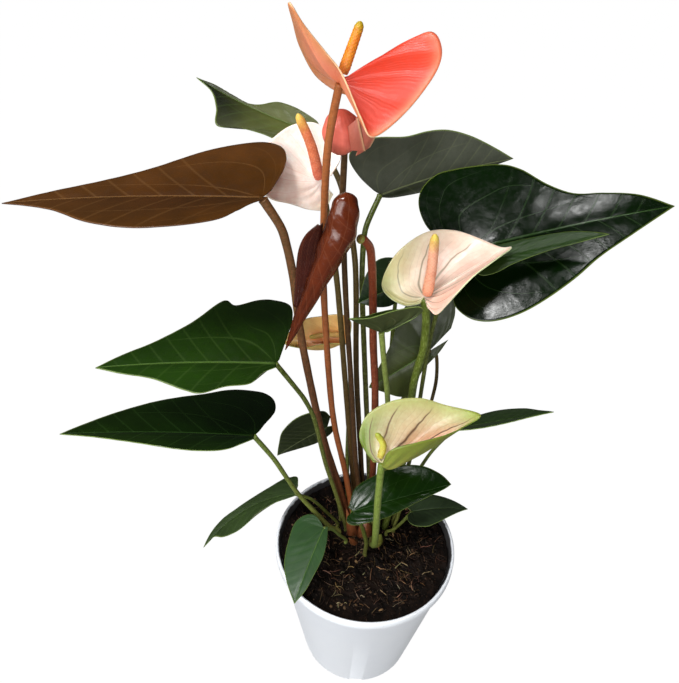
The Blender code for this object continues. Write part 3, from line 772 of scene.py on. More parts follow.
@dataclass
class Soil:
    """The coir in the pot: an uneven top with crumbs, bark chips and fibres on it."""

    wall_gap: float = 0.5
    top: float = 105.5
    edge: float = 105.0
    floor: float = 2.2
    rings: int = 90
    sectors: int = 220
    crumbs: int = 900
    chips: int = 46
    fibres: int = 620
    draws: random.Random = field(default_factory=lambda: random.Random(SEED))

    def inner(self, height: float) -> float:
        """The pot's inner radius at a height, less the gap."""
        return 38.6 + 19.0 * height / 110.0 - self.wall_gap

    def level(self, x: float, y: float) -> float:
        """The height of the soil at a place."""
        away = math.hypot(x, y)
        base = self.top + (self.edge - self.top) * max(0.0, (away - 30) / 27) ** 1.5
        spot = Vector((x, y, 0))
        broad = noise.fractal(spot * 0.07, 0.8, 2.1, 3) * 1.3
        fine = noise.fractal(spot * 0.33 + Vector((9, 4, 2)), 0.7, 2.2, 4) * 1.0
        calm = min(1.0, away / 14.0)
        return base + (broad + fine) * calm

    def build(self) -> None:
        """Makes the block and what lies on it."""
        radius = self.inner(self.edge)
        turns = np.linspace(0, 2 * math.pi, self.sectors + 1)
        turns[-1] = 0
        rows = []
        for share in np.linspace(0, 1, self.rings + 1):
            away = radius * share
            rows.append([(away * math.cos(turn), away * math.sin(turn),
                          self.level(away * math.cos(turn), away * math.sin(turn))) for turn in turns])
        for height, reach in ((self.edge - 6, self.inner(self.edge - 6)),
                              (self.floor + 2, self.inner(self.floor)),
                              (self.floor, self.inner(self.floor) - 2), (self.floor, 0)):
            rows.append([(reach * math.cos(turn), reach * math.sin(turn), height) for turn in turns])
        soil = shaped_grid("soil_block", np.array(rows))
        soil.data.materials.append(EarthFinish("coir").build())
        hand_in(soil, Slot.SOIL, "soil")
        painted_earth = EarthFinish("coir_bits", painted=True, roughness=0.8).build()
        for name, mesh in (("soil_crumbs", self.crumb_mesh()), ("soil_chips", self.chip_mesh()),
                           ("soil_fibres", self.fibre_mesh())):
            piece = finished_object(name, mesh)
            piece.data.materials.append(painted_earth)
            hand_in(piece, Slot.SOIL)

    def spot(self, margin: float) -> Vector:
        """A random place on the soil, away from the wall."""
        away = (self.inner(self.edge) - margin) * math.sqrt(self.draws.uniform(0.0, 1.0))
        turn = self.draws.uniform(0, 2 * math.pi)
        x, y = away * math.cos(turn), away * math.sin(turn)
        return Vector((x, y, self.level(x, y)))

    def shade(self) -> Colour:
        """A random earth colour."""
        choice = self.draws.random()
        if choice < 0.62:
            colour = tone(19, 11, 7)
        elif choice < 0.9:
            colour = tone(38, 24, 15)
        else:
            colour = tone(96, 74, 52)
        change = self.draws.uniform(0.7, 1.3)
        return tuple(value * change for value in colour)

    def stained(self, mesh: bmesh.types.BMesh, verts: list, colour: Colour) -> None:
        """Paints some points of a mesh."""
        layer = mesh.verts.layers.float_color.get("upper") or mesh.verts.layers.float_color.new("upper")
        for vertex in verts:
            vertex[layer] = (*colour, 1.0)

    def crumb_mesh(self) -> bmesh.types.BMesh:
        """Small lumps of coir."""
        mesh = bmesh.new()
        mesh.verts.layers.float_color.new("upper")
        for _ in range(self.crumbs):
            size = self.draws.uniform(0.4, 1.5)
            place = self.spot(2.2)
            turn = Matrix.Rotation(self.draws.uniform(0, 6.28), 4, Vector((self.draws.random(), 0.6, 0.4)))
            flat = Matrix.Diagonal((size, size * self.draws.uniform(0.5, 1.0),
                                    size * self.draws.uniform(0.4, 0.8), 1))
            put = Matrix.Translation(place * MM) @ turn @ flat
            made = bmesh.ops.create_icosphere(mesh, subdivisions=1, radius=MM, matrix=put)
            for vertex in made["verts"]:
                vertex.co += Vector([self.draws.uniform(-0.2, 0.2) * size * MM for _ in range(3)])
            self.stained(mesh, made["verts"], self.shade())
        return mesh

    def chip_mesh(self) -> bmesh.types.BMesh:
        """Flat bits of bark and husk."""
        mesh = bmesh.new()
        mesh.verts.layers.float_color.new("upper")
        for index in range(self.chips):
            long = self.draws.uniform(2.5, 6.5)
            place = self.spot(6.0) + Vector((0, 0, 0.5))
            turn = (Matrix.Rotation(self.draws.uniform(0, 6.28), 4, "Z")
                    @ Matrix.Rotation(self.draws.uniform(-0.5, 0.5), 4, "X"))
            size = Matrix.Diagonal((long, self.draws.uniform(0.8, 2.0), self.draws.uniform(0.3, 0.7), 1))
            put = Matrix.Translation(place * MM) @ turn @ size
            made = bmesh.ops.create_icosphere(mesh, subdivisions=1, radius=0.6 * MM, matrix=put)
            for vertex in made["verts"]:
                vertex.co += Vector([self.draws.uniform(-0.22, 0.22) * MM for _ in range(3)])
            pale = index % 9 == 0
            self.stained(mesh, made["verts"], tone(142, 112, 78) if pale else self.shade())
        return mesh

    def fibre_mesh(self) -> bmesh.types.BMesh:
        """Thin bent fibres that lie on the soil."""
        mesh = bmesh.new()
        mesh.verts.layers.float_color.new("upper")
        for _ in range(self.fibres):
            long = self.draws.uniform(2.0, 9.0)
            place = self.spot(7.0)
            heading = self.draws.uniform(0, 6.28)
            bend = self.draws.uniform(-0.8, 0.8)
            thick = self.draws.uniform(0.09, 0.3)
            ring = bmesh.ops.create_circle(mesh, segments=4, radius=thick * MM, cap_ends=True,
                                           matrix=Matrix.Translation(place * MM)
                                           @ Matrix.Rotation(heading, 4, "Z") @ Matrix.Rotation(1.5708, 4,
                                                                                                "Y"))
            verts = list(ring["verts"])
            front = [edge for edge in verts[0].link_faces[0].edges]
            everything = list(verts)
            x, y, height = place
            for step in range(4):
                heading += bend * 0.5
                x += math.cos(heading) * long / 4
                y += math.sin(heading) * long / 4
                height = self.level(x, y) + 0.5 + self.draws.uniform(-0.1, 0.7)
                grown = bmesh.ops.extrude_edge_only(mesh, edges=front)["geom"]
                verts = [item for item in grown if isinstance(item, bmesh.types.BMVert)]
                front = [item for item in grown if isinstance(item, bmesh.types.BMEdge)
                         and all(v in verts for v in item.verts)]
                middle = sum((vertex.co for vertex in verts), Vector()) / len(verts)
                shift = Vector((x, y, height)) * MM - middle
                bmesh.ops.translate(mesh, verts=verts, vec=shift)
                everything += verts
            bmesh.ops.holes_fill(mesh, edges=front, sides=4)
            pale = self.draws.random()
            colour = tone(158, 132, 100) if pale > 0.8 else tone(92, 68, 46) if pale > 0.45 else tone(40,
                                                                                                      26, 17)
            self.stained(mesh, everything, tuple(value * self.draws.uniform(0.75, 1.2) for value in colour))
        bmesh.ops.recalc_face_normals(mesh, faces=mesh.faces)
        return mesh


# ---------------------------------------------------------------- stalks

def spine(node: str, ring: int = 8) -> tuple[list[Vector], list[float]]:
    """The centre line of a stalk's solid, read ring by ring from its foot.

    Args:
        node: The solid's name.
        ring: How many points its rings have.

    Returns:
        The centres of its rings and their radii, in millimetres.
    """
    mesh = bmesh.new()
    mesh.from_mesh(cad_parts[node].data)
    bmesh.ops.remove_doubles(mesh, verts=mesh.verts, dist=0.01 * MM)
    mesh.verts.index_update()
    layer = sorted(mesh.verts, key=lambda vertex: vertex.co.z)[:ring]
    seen = set(layer)
    centres, radii = [], []
    while layer:
        middle = sum((vertex.co for vertex in layer), Vector()) / len(layer)
        centres.append(middle / MM)
        radii.append(sum((vertex.co - middle).length for vertex in layer) / len(layer) / MM)
        layer = sorted({edge.other_vert(vertex) for vertex in layer for edge in vertex.link_edges} - seen,
                       key=lambda vertex: vertex.index)
        seen.update(layer)
    mesh.free()
    return centres, radii


@dataclass
class Stalk:
    """A petiole or flower stalk, with a knee under its blade and a paler or darker foot."""

    node: str
    slot: Slot
    finish: bpy.types.Material
    top: Colour
    foot: Colour
    reach: float = 2.2          # how far it goes on past its solid's end, into the blade's base
    knee: float = 1.22
    knee_colour: Colour | None = None
    sides: int = 16
    sunk: float = 3.0

    def build(self) -> bpy.types.Object:
        """Makes the stalk along its solid's centre line."""
        centres, radii = spine(self.node)
        end = centres[-1] + (centres[-1] - centres[-2]).normalized() * self.reach
        route = [centres[0] - Vector((0, 0, self.sunk)), *centres, end]
        widths = [radii[0] * 1.05, *radii, radii[-1] * 0.9]
        length = sum((b - a).length for a, b in zip(route, route[1:]))
        count = max(24, int(length / 2.5))
        rows = smooth_rows([[*point, width] for point, width in zip(route, widths)], count)
        share = np.linspace(0, 1, count + 1)
        from_end = (1 - share) * length
        swell = 1 + (self.knee - 1) * np.exp(-((from_end - 5.5) / 4.0) ** 2)
        swell *= 1 + 0.25 * np.exp(-(share * length / 7.0) ** 2)
        swell *= 1 + 0.02 * np.sin(share * length * 0.35 + len(self.node))
        points = tube_points([Vector(row[:3]) for row in rows], rows[:, 3] * swell, self.sides)
        shade = np.clip(share / 0.85, 0, 1)[:, None] ** 1.2
        colours = np.array(self.foot) * (1 - shade) + np.array(self.top) * shade
        if self.knee_colour:
            mark = np.exp(-((from_end - 4.0) / 6.0) ** 2)[:, None]
            colours = colours * (1 - mark) + np.array(self.knee_colour) * mark
        colours = np.concatenate([colours[:1], colours, colours[-1:]])
        tints = np.repeat(colours[:, None], self.sides + 1, 1)
        piece = shaped_grid(f"{self.node}_skin", points, {"wrap": wrap_map(*points.shape[:2], length)},
                            {"upper": tints})
        piece.data.materials.append(self.finish)
        hand_in(piece, self.slot, self.node)
        return piece


# ---------------------------------------------------------------- leaves

@dataclass(frozen=True)
class Blade:
    """A leaf blade. Its edge is given as (ahead of the base, away from the midrib)."""

    name: str
    base: Point
    tip: Point
    face: Point
    folds: tuple[float, float]
    arch: float
    curl: float
    left: tuple
    right: tuple
    sway: float = 0.0
    wave: float = 0.7
    upper: Colour = tone(27, 50, 14)
    under: Colour = tone(84, 92, 66)
    patches: tuple[Patch, ...] = ()
    under_patches: tuple[Patch, ...] = ()
    rings: int = 26
    sectors: int = 128

    def edge(self) -> np.ndarray:
        """The blade's edge as (ahead, to the left), sharp at the tip."""
        reach = math.dist(self.base, self.tip)
        left = smooth_rows([*self.left, (reach, 0)], self.sectors // 2)
        right = smooth_rows([*self.right, (reach, 0)], self.sectors // 2) * (1, -1)
        return np.concatenate([left, right[-2::-1]])

    def fan(self) -> np.ndarray:
        """The map of (round, out): round goes from -1 over the tip's 0 to 1."""
        turn = np.linspace(-1, 1, self.sectors + 1)
        out = np.linspace(0, 1, self.rings + 1)
        return np.stack(np.meshgrid(turn, out), -1)

    def points(self) -> tuple[np.ndarray, np.ndarray]:
        """The middle surface's points, and the map of (ahead, aside) in shares."""
        base = np.array(self.base, float)
        chord = np.array(self.tip, float) - base
        reach = np.linalg.norm(chord)
        forward = chord / reach
        face = np.array(self.face, float)
        up = face - face @ forward * forward
        up /= np.linalg.norm(up)
        aside = np.cross(up, forward)

        out = np.linspace(0, 1, self.rings + 1)[:, None, None] ** 0.85
        ahead, left = np.moveaxis(self.edge() * out, -1, 0)
        half = max(away for _, away in self.left + self.right)
        share = np.clip(ahead / reach, 0, 1)
        raised = self.arch * 4 * share * (1 - share) - self.curl * (left / half) ** 2
        fold = np.radians(np.where(left > 0, *self.folds))
        raised += (np.sqrt(left ** 2 + 1.2) - 1.1) * np.sin(fold)
        raised += self.relief(ahead / reach, left / half, out[..., 0])
        level = left * np.cos(fold) + self.sway * 4 * share * (1 - share)
        points = base + ahead[..., None] * forward + level[..., None] * aside + raised[..., None] * up
        return points, np.stack([ahead / reach, left / half], -1)

    def relief(self, ahead: np.ndarray, aside: np.ndarray, out: np.ndarray) -> np.ndarray:
        """Swellings between the side veins, a sunken midrib and a wavy edge."""
        away = np.abs(aside)
        start = ahead - 0.42 * away + 0.147 * away ** 2
        fade = np.clip(start / 0.15, 0, 1) * np.clip((1 - ahead) / 0.2, 0, 1) * np.clip((1 - away) / 0.3, 0,
                                                                                        1)
        swell = -0.035 * np.cos(2 * math.pi * (start * 9.0 + 0.5 * (aside > 0))) * fade
        midrib = -0.25 * np.exp(-(aside / 0.05) ** 2) * np.clip(ahead / 0.05, 0, 1)
        phase = len(self.name) * 1.7
        wave = 0.7 * self.wave * out ** 2 * np.sin(ahead * 7.0 + np.sign(aside) * 1.3 + phase)
        return swell + midrib + wave * np.clip(away * 3, 0, 1)

    def build(self, finishes: list[bpy.types.Material], slot: Slot, thickness: float = 0.45) -> None:
        """Makes the blade, painted and thickened."""
        points, shares = self.points()
        fan = self.fan()
        node = f"leaf_{self.name}"
        paints = {"upper": painted(self.upper, self.patches, fan),
                  "under": painted(self.under, self.under_patches, fan)}
        piece = shaped_grid(f"{node}_blade", points, {"fan": fan, "blade": shares}, paints)
        thicken(piece, thickness, finishes)
        hand_in(piece, slot, node)


BLADES = (
    Blade("bronze", base=(-62, 0, 349), tip=(-180, -2, 341), face=(0, -0.12, 1), folds=(5, 14), arch=2,
          curl=2,
          left=((-2, 1), (3, 5), (9, 13), (17, 22), (33, 28), (52, 29.5), (72, 23), (92, 10)),
          right=((-4, 5), (-9, 20), (-9, 32), (-4, 39), (6, 41), (28, 34), (53, 19.5), (74, 11), (98, 5)),
          upper=tone(76, 44, 6), under=tone(92, 44, 24), wave=0.5,
          patches=(Patch(tone(58, 30, 8), (0.0, 0.3), (0.5, 0.5), 0.6),
                   Patch(tone(88, 52, 20), (0.5, 0.9), (0.5, 0.3), 0.7))),
    Blade("back_left", base=(-44, 72, 358), tip=(-107, 84, 380), face=(0.1, -0.5, 1), folds=(0, 20), arch=0,
          curl=2, sway=3,
          left=((-6, 5), (-7, 12), (0, 18), (17, 13), (33, 15), (45, 20), (50, 11), (57, 3)),
          right=((-3, 3), (0, 6.5), (7, 9), (15, 10.5), (24, 9.5), (32, 3.5), (40, 1), (48, 1.5), (57, 2)),
          # The pale grey-green upper colour is painted sheen on the near half, and the dark patch near the
          # tip is painted shade on the far half.
          upper=tone(90, 96, 46), under=tone(40, 48, 18), wave=0.3,
          patches=(Patch(tone(16, 22, 5), (-0.12, 0.95), (0.4, 0.4), 1.0),)),
    Blade("back_right", base=(-5, 74, 324), tip=(74, 104, 339), face=(-0.1, 0.95, 0.3), folds=(10, 10),
          arch=3,
          curl=2, left=((0, 2), (10, 7), (28, 11), (46, 11), (64, 6)),
          right=((-4, 4), (-12, 15), (-17, 27), (-13, 34), (-2, 36), (16, 31), (30, 30), (43, 27), (58, 19.5),
                 (73, 9.5)),
          upper=tone(30, 48, 16), under=tone(84, 88, 74),
          under_patches=(Patch(tone(44, 54, 14), (-0.55, 0.3), (0.5, 0.3), 1.0),)),
    Blade("large_right", base=(43, 40, 309), tip=(147, 46, 337), face=(-0.3, -0.8, 1), folds=(5, 5), arch=3,
          curl=4, left=((-8, 6), (-18, 16), (-21, 30), (-18, 41), (-10, 48), (0, 50), (25, 46), (37, 39.5),
                        (48, 27), (60, 18), (75, 14.5), (92, 9.5)),
          right=((-6, 8), (-12, 20), (-14, 29), (-11, 35.5), (-5, 40.5), (5, 43), (18, 42), (32, 37.5),
                 (48, 30),
                 (63, 21), (82, 12)), upper=tone(5, 22, 2), under=tone(60, 72, 48), wave=0.9),
    Blade("narrow_right", base=(43, 16, 314), tip=(105, 18, 332), face=(-0.3, -0.7, 1), folds=(10, 10),
          arch=0,
          curl=1, left=((-2, 3), (3, 6), (14, 7), (28, 7), (45, 6), (57, 3)),
          right=((-3, 4), (1, 8), (8, 8), (18, 5), (35, 2), (50, 1)), upper=tone(30, 52, 14), wave=0.2),
    Blade("middle_left", base=(-56, -12, 265), tip=(-144, -24, 266), face=(0, -0.05, 1), folds=(0, 8), arch=2,
          curl=2, left=((0, 3), (7, 8), (13, 16), (25, 18), (36, 22), (45, 19), (60, 11), (76, 6)),
          right=((-2, 3), (-6, 18), (-10, 34), (-9, 46), (0, 51), (9, 50), (21, 44), (26, 48), (31, 45),
                 (44, 29), (61, 16), (76, 8)), upper=tone(26, 52, 3), wave=0.6,
          patches=(Patch(tone(34, 66, 8), (-0.3, 0.8), (0.4, 0.4), 0.7),
                   Patch(tone(18, 38, 6), (0.7, 0.7), (0.3, 0.5), 0.7))),
    Blade("low_left", base=(-69, -14, 215), tip=(-171, -26, 221), face=(0, 0.1, 1), folds=(6, 6), arch=2,
          curl=2,
          left=((0, 3), (7, 9), (14, 14), (24, 16), (40, 15), (67, 9), (86, 4)),
          right=((-3, 4), (-7, 12), (-12, 22), (-11, 33), (-4, 40), (8, 41), (18, 39), (30, 34), (45, 30),
                 (60, 25), (78, 16), (92, 7)), upper=tone(12, 32, 5), wave=0.6,
          patches=(Patch(tone(26, 46, 8), (-0.2, 0.9), (0.5, 0.5), 0.8),)),
    Blade("small_left", base=(-48, 6, 145), tip=(-111, 0, 92), face=(-0.5, -0.35, 1), folds=(5, 10), arch=0,
          curl=1, sway=-9, left=((-2, 1), (8, 3), (16, 4), (24, 5.5), (33, 7), (41, 10), (50, 11),
                                 (58, 9.5), (65, 6.5),
                       (72, 1), (77, 0.5)),
          right=((-4, 4), (-5, 10), (2, 12.5), (10, 10.5), (19, 8), (34, 5.5), (50, 4.5), (60, 5), (69, 4.5),
                 (76, 3)),
          upper=tone(46, 64, 28), wave=0.3),
    Blade("front", base=(-28, -12, 135), tip=(-43, -54, 118), face=(-0.3, -0.5, 1), folds=(5, 5), arch=2,
          curl=1,
          left=((-2, 2), (3, 4), (10, 6), (19, 7), (28, 6), (39, 4)),
          right=((-3, 3), (-6, 9), (-4, 15), (3, 19), (15, 18), (28, 15), (38, 9)),
          upper=tone(48, 78, 42), wave=0.3),
    Blade("low_front", base=(-11, -22, 165), tip=(48, -6, 175), face=(0, -0.5, 1), folds=(8, 8), arch=2,
          curl=2,
          left=((-2, 3), (0, 6), (4, 12), (10, 15), (20, 17), (31, 18.5), (41, 17.5), (50, 14), (58, 7)),
          right=((-4, 2), (-5, 5), (-2, 8), (7, 9), (19, 9), (30, 7), (45, 4), (56, 2)),
          upper=tone(18, 44, 6), wave=0.4),
    Blade("low_right", base=(30, 8, 131), tip=(69, 16, 127), face=(0, 0, 1), folds=(8, 8), arch=2, curl=1,
          left=((-2, 3), (-2, 6), (2, 10), (9, 12), (18, 11), (31, 6)),
          right=((-4, 3), (-5, 8), (-2, 12), (6, 14), (13, 12), (20, 9), (31, 4)),
          upper=tone(52, 68, 44), wave=0.3),
    Blade("thin_right", base=(50, 20, 197), tip=(109, 24, 211), face=(-0.1, 0.42, 1), folds=(6, 6), arch=0,
          curl=1, left=((-3, 3), (0, 7), (12, 11), (30, 16), (45, 13), (54, 5)),
          right=((-2, 3), (2, 6), (14, 8), (32, 7), (48, 3)), upper=tone(40, 60, 26), under=tone(60, 76, 46),
          wave=0.3),
    Blade("hanging", base=(29, 32, 246), tip=(-5, 26, 221), face=(-0.3, -1, 0.25), folds=(3, 3), arch=2,
          curl=3,
          left=((-13, 0), (-4, 4), (4, 6), (10, 8), (18, 13), (24, 16), (30, 14), (37, 6)),
          right=((-18, 5), (-25, 12), (-29, 22), (-20, 30), (-6, 31), (6, 25), (18, 15), (30, 8)),
          upper=tone(44, 56, 10), wave=0.4,
          patches=(Patch(tone(82, 90, 42), (-0.2, 0.8), (0.5, 0.5), 0.7),)),
    Blade("inner", base=(6, 30, 291), tip=(-15, 25, 281), face=(0, -1, 0.3), folds=(5, 5), arch=1, curl=2,
          left=((-3, 3), (0, 7), (8, 9), (16, 6)), right=((-4, 5), (-5, 13), (4, 17), (14, 12)),
          upper=tone(14, 38, 6), wave=0.3),
    Blade("low_back", base=(-29, 26, 187), tip=(-62, 30, 155), face=(-0.4, 0.9, 0.15), folds=(5, 5), arch=1,
          curl=2, left=((-10, 8), (-12, 18), (0, 26), (20, 20), (35, 9)),
          right=((-4, 4), (8, 12), (22, 14), (34, 8)), upper=tone(30, 48, 16),
          under=tone(50, 60, 32), wave=0.2),
)


# ---------------------------------------------------------------- flowers

@dataclass(frozen=True)
class Spathe:
    """A spathe. Its margin points are (x, y, z, sag), from one side of the notch to the other."""

    name: str
    base: Point
    sag: Point
    face: Point
    margin: tuple
    upper: Colour
    under: Colour
    tip_at: float               # where the tip is along the margin, from 0 to 1
    patches: tuple[Patch, ...] = ()
    under_patches: tuple[Patch, ...] = ()
    node: str = ""
    rings: int = 26
    sectors: int = 150

    def fan(self) -> np.ndarray:
        """The map of (round, out), with the tip at 0."""
        place = np.linspace(0, 1, self.sectors + 1)
        turn = np.where(place < self.tip_at, place / self.tip_at - 1,
                        (place - self.tip_at) / (1 - self.tip_at))
        return np.stack(np.meshgrid(turn, np.linspace(0, 1, self.rings + 1)), -1)

    def points(self) -> np.ndarray:
        """The middle surface's points."""
        base = np.array(self.base, float)
        edge = smooth_rows(self.margin, self.sectors)
        out = np.linspace(0, 1, self.rings + 1)[:, None, None] ** 0.85
        points = base + (edge[:, :3] - base) * out
        return points + np.array(self.sag, float) * edge[:, 3:] * 4 * out * (1 - out)

    def build(self, finishes: list[bpy.types.Material], slot: Slot, thickness: float = 0.6) -> None:
        """Makes the spathe, painted and thickened, with its upper side towards its face."""
        points, fan = self.points(), self.fan()
        across = np.cross(points[1:, 1:] - points[1:, :-1], points[1:, 1:] - points[:-1, 1:])
        if (across.sum((0, 1)) @ np.array(self.face)) < 0:
            points, fan = points[:, ::-1], fan[:, ::-1]
        node = self.node or f"spathe_{self.name}"
        normal = np.cross(np.gradient(points, axis=1), np.gradient(points, axis=0))
        size = np.linalg.norm(normal, axis=-1, keepdims=True)
        normal = np.divide(normal, size, out=np.zeros_like(normal), where=size > 1e-9)
        pleat = 0.22 * np.cos(2 * math.pi * fan[..., :1] * (1 + 0.5 * fan[..., 1:] ** 2) * 4.0)
        points = points + normal * pleat * np.clip(fan[..., 1:] * 4, 0, 1) * np.clip((1 - fan[..., 1:]) * 4,
                                                                                     0, 1)
        paints = {"upper": painted(self.upper, self.patches, fan),
                  "under": painted(self.under, self.under_patches, fan)}
        piece = shaped_grid(f"{node}_petal", points, {"fan": fan, "blade": fan}, paints)
        thicken(piece, thickness, finishes)
        hand_in(piece, slot, node)


@dataclass(frozen=True)
class Spadix:
    """A flower spike: a tapered spindle packed with tiny flowers."""

    name: str
    slot: Slot
    points: tuple[Point, ...]
    radius: float
    low: Colour
    high: Colour
    tip: Colour
    around: int = 9
    sides: int = 54

    def build(self, finish: bpy.types.Material) -> None:
        """Makes the spike with its diamond pattern of flowers."""
        length = sum(math.dist(a, b) for a, b in zip(self.points, self.points[1:]))
        count = int(length / 0.22)
        rows = smooth_rows([*self.points], count)
        share = np.linspace(0, 1, count + 1)
        width = self.radius * (1 - 0.25 * share) * np.sqrt(np.clip(
            1 - np.clip((share - 0.86) / 0.14, 0, 1) ** 2, 0.02, 1))
        width *= 0.82 + 0.18 * np.clip(share * length / 2.5, 0, 1)
        turn = np.linspace(0, 2 * math.pi, self.sides + 1)
        pitch = 2 * math.pi * self.radius / self.around
        lift = (share * length / pitch * math.pi)[:, None]
        weave = np.abs(np.sin(self.around / 2 * turn[None] + lift)
                       * np.sin(self.around / 2 * turn[None] - lift))
        widths = width[:, None] * (1 + 0.085 * weave ** 0.6)
        points = tube_points([Vector(row) for row in rows], widths, self.sides)
        colours = np.array([self.low, self.high, self.high, self.tip])
        marks = np.array([0.0, 0.45, 0.72, 0.97])
        blend = np.stack([np.interp(share, marks, colours[:, k]) for k in range(3)], -1)
        # The grooves between the tiny flowers are painted darker, following the weave's depth: painted shade.
        shade = blend[:, None] * (0.84 + 0.16 * weave[..., None])
        tints = np.concatenate([shade[:1], shade, shade[-1:]])
        node = f"spadix_{self.name}"
        piece = shaped_grid(f"{node}_spike", points, {"wrap": wrap_map(*points.shape[:2], length)},
                            {"upper": tints})
        piece.data.materials.append(finish)
        hand_in(piece, self.slot, node)


SPATHES = {
    Slot.CORAL: Spathe(
        "coral", base=(-29, -9, 401), sag=(0, 0, -1), face=(0, 0, 1), tip_at=0.3,
        margin=((-24, -6, 402, 0), (-16, -1, 404, 0), (-8, 3, 411, 0), (5, 6, 418, -1), (10, 2, 413, 0),
                (8, -4, 405, 1),
                (-3, -16, 393, 1), (-15, -26, 386, 0), (-20, -25, 392, -1), (-28, -19, 406, -1),
                (-34, -19, 413, 1), (-41, -21, 421, 3), (-47, -23, 429, 4), (-47, -8, 421, 4),
                (-45, 4, 410, 2), (-38, 14, 397, -2), (-24, 20, 390, -4), (-8, 20, 398, -3),
                (2, 14, 412, -1), (-9, 8, 409, 0), (-17, 2, 403, 0), (-24, -3, 401, 0)),
        upper=tone(220, 62, 38), under=tone(232, 144, 84),
        patches=(Patch(tone(226, 84, 60), (-0.6, 0.9), (0.25, 0.3), 0.7),
                 Patch(tone(252, 176, 134), (-0.05, 1.0), (0.5, 0.1), 0.6)),
        under_patches=(Patch(tone(222, 158, 96), (0.4, 0.9), (0.3, 0.5), 0.8),
                       Patch(tone(255, 156, 124), (0.3, 0.4), (0.35, 0.5), 0.9))),
    Slot.BLUSH: Spathe(
        "blush", base=(-37, 34, 345), sag=(0, 0.7, -0.7), face=(0, -1, 0.5), tip_at=0.5,
        margin=((-32, 36, 348, 0), (-28, 42, 356, 1), (-33, 47, 364, 2), (-42, 50, 369, 3), (-53, 47, 368, 3),
                (-63, 40, 362, 3), (-74, 30, 352, 1), (-63, 24, 340, 3), (-52, 26, 336, 3), (-42, 29, 332, 2),
                (-35, 33, 331, 1), (-31, 36, 338, 0)),
        upper=tone(255, 246, 238), under=tone(240, 200, 180),
        patches=(Patch(tone(255, 232, 218), (0.45, 0.5), (0.4, 0.5), 0.7),
                 Patch(tone(226, 222, 178), (0.9, 0.9), (0.2, 0.3), 0.7))),
    Slot.CREAM: Spathe(
        "cream", base=(17, 3, 300), sag=(0, 0.3, -1), face=(0, -1, 0.5), tip_at=0.6,
        margin=((15, 1, 297, 0), (8, 2, 295, 1), (0, 6, 297, 2), (-4, 13, 301, 2), (1, 20, 312, 3),
                (10, 25, 320, 4), (20, 27, 325, 4), (32, 26, 326, 3), (43, 23, 324, 2), (53, 16, 323, 0),
                (58, 14, 324, 0),
                (48, 2, 323, 3), (38, -5, 318, 3), (31, -8, 310, 2), (27, -7, 302, 1), (23, -5, 295, 0),
                (19, -1, 296, 0)),
        upper=tone(238, 222, 206), under=tone(186, 152, 112),
        patches=(Patch(tone(176, 184, 112), (-0.78, 0.95), (0.38, 0.42), 1.0),
                 Patch(tone(194, 196, 136), (-0.95, 0.5), (0.35, 0.6), 0.85),
                 Patch(tone(236, 200, 186), (-0.15, 0.6), (0.3, 0.4), 0.6),
                 Patch(tone(238, 180, 160), (0.6, 0.6), (0.42, 0.5), 0.9))),
    Slot.OLIVE: Spathe(
        "olive", base=(-19, 39, 247), sag=(0, 0, -1), face=(0, -1, 0.3), tip_at=0.5,
        margin=((-18, 37, 250, 0), (-18, 41, 258, 0), (-24, 42, 262, 2), (-36, 42, 260, 3), (-47, 42, 256, 3),
                (-58, 40, 242, 1), (-46, 33, 243, 4), (-33, 31, 248, 3), (-22, 32, 248, 1),
                (-19, 34, 246, 0)),
        upper=tone(255, 204, 122), under=tone(224, 190, 108),
        patches=(Patch(tone(236, 160, 116), (0.1, 0.4), (0.4, 0.3), 0.7),
                 Patch(tone(206, 192, 108), (0.3, 1.0), (0.5, 0.35), 0.8),
                 Patch(tone(140, 100, 44), (-0.8, 0.8), (0.3, 0.5), 0.7))),
}
LIME = Spathe(
    "lime", base=(1, -36, 222), sag=(0.1, -0.5, -1), face=(0, 0, 1), tip_at=0.57,
    margin=((-3, -34, 220, 0), (-7, -30, 223, 1), (-11, -25, 229, 2), (-9, -19, 236, 3), (-3, -15, 241, 4),
            (8, -12, 245, 5), (21, -11, 246, 5), (34, -12, 243, 4), (52, -17, 242, 0), (44, -24, 240, 2),
            (32, -34, 242, 4), (18, -40, 242, 6), (8, -42, 240, 6), (3, -42, 236, 4), (2, -40, 229, 1)),
    upper=tone(212, 206, 166), under=tone(118, 132, 38),
    patches=(Patch(tone(88, 128, 14), (-0.82, 0.9), (0.4, 0.55), 1.0),
             Patch(tone(104, 138, 26), (-0.97, 0.5), (0.25, 0.6), 0.95),
             Patch(tone(176, 188, 110), (-0.3, 1.0), (0.4, 0.14), 0.9),
             Patch(tone(236, 178, 148), (0.2, 0.45), (0.45, 0.28), 0.9),
             Patch(tone(150, 172, 60), (0.0, 1.0), (0.1, 0.2), 0.9)),
    under_patches=(Patch(tone(150, 154, 66), (0.5, 0.4), (0.4, 0.3), 0.6),))
SPADICES = (
    Spadix("coral", Slot.ORANGE_SPIKE, ((-28, -7, 404), (-25, -6, 413), (-22, -5, 422)), 2.2,
           tone(250, 160, 60), tone(246, 152, 24), tone(176, 154, 10)),
    Spadix("blush", Slot.PEACH_SPIKE, ((-38, 31, 348), (-42, 27, 365), (-48, 23, 380)), 2.6,
           tone(226, 112, 84), tone(250, 146, 98), tone(250, 216, 96)),
    Spadix("cream", Slot.PEACH_SPIKE, ((18, 1, 303), (18, -1, 320), (17, -3, 337)), 2.7,
           tone(252, 166, 128), tone(252, 184, 150), tone(222, 200, 78)),
    Spadix("lime", Slot.YELLOW_SPIKE, ((0, -36, 226), (1, -34, 233), (-3, -33, 240)), 1.9,
           tone(206, 194, 86), tone(208, 206, 80), tone(170, 188, 60)),
    Spadix("olive", Slot.YELLOW_SPIKE, ((-23, 37, 251), (-33, 36, 251), (-42, 37, 248)), 1.6,
           tone(206, 158, 88), tone(200, 168, 84), tone(190, 176, 80)),
)


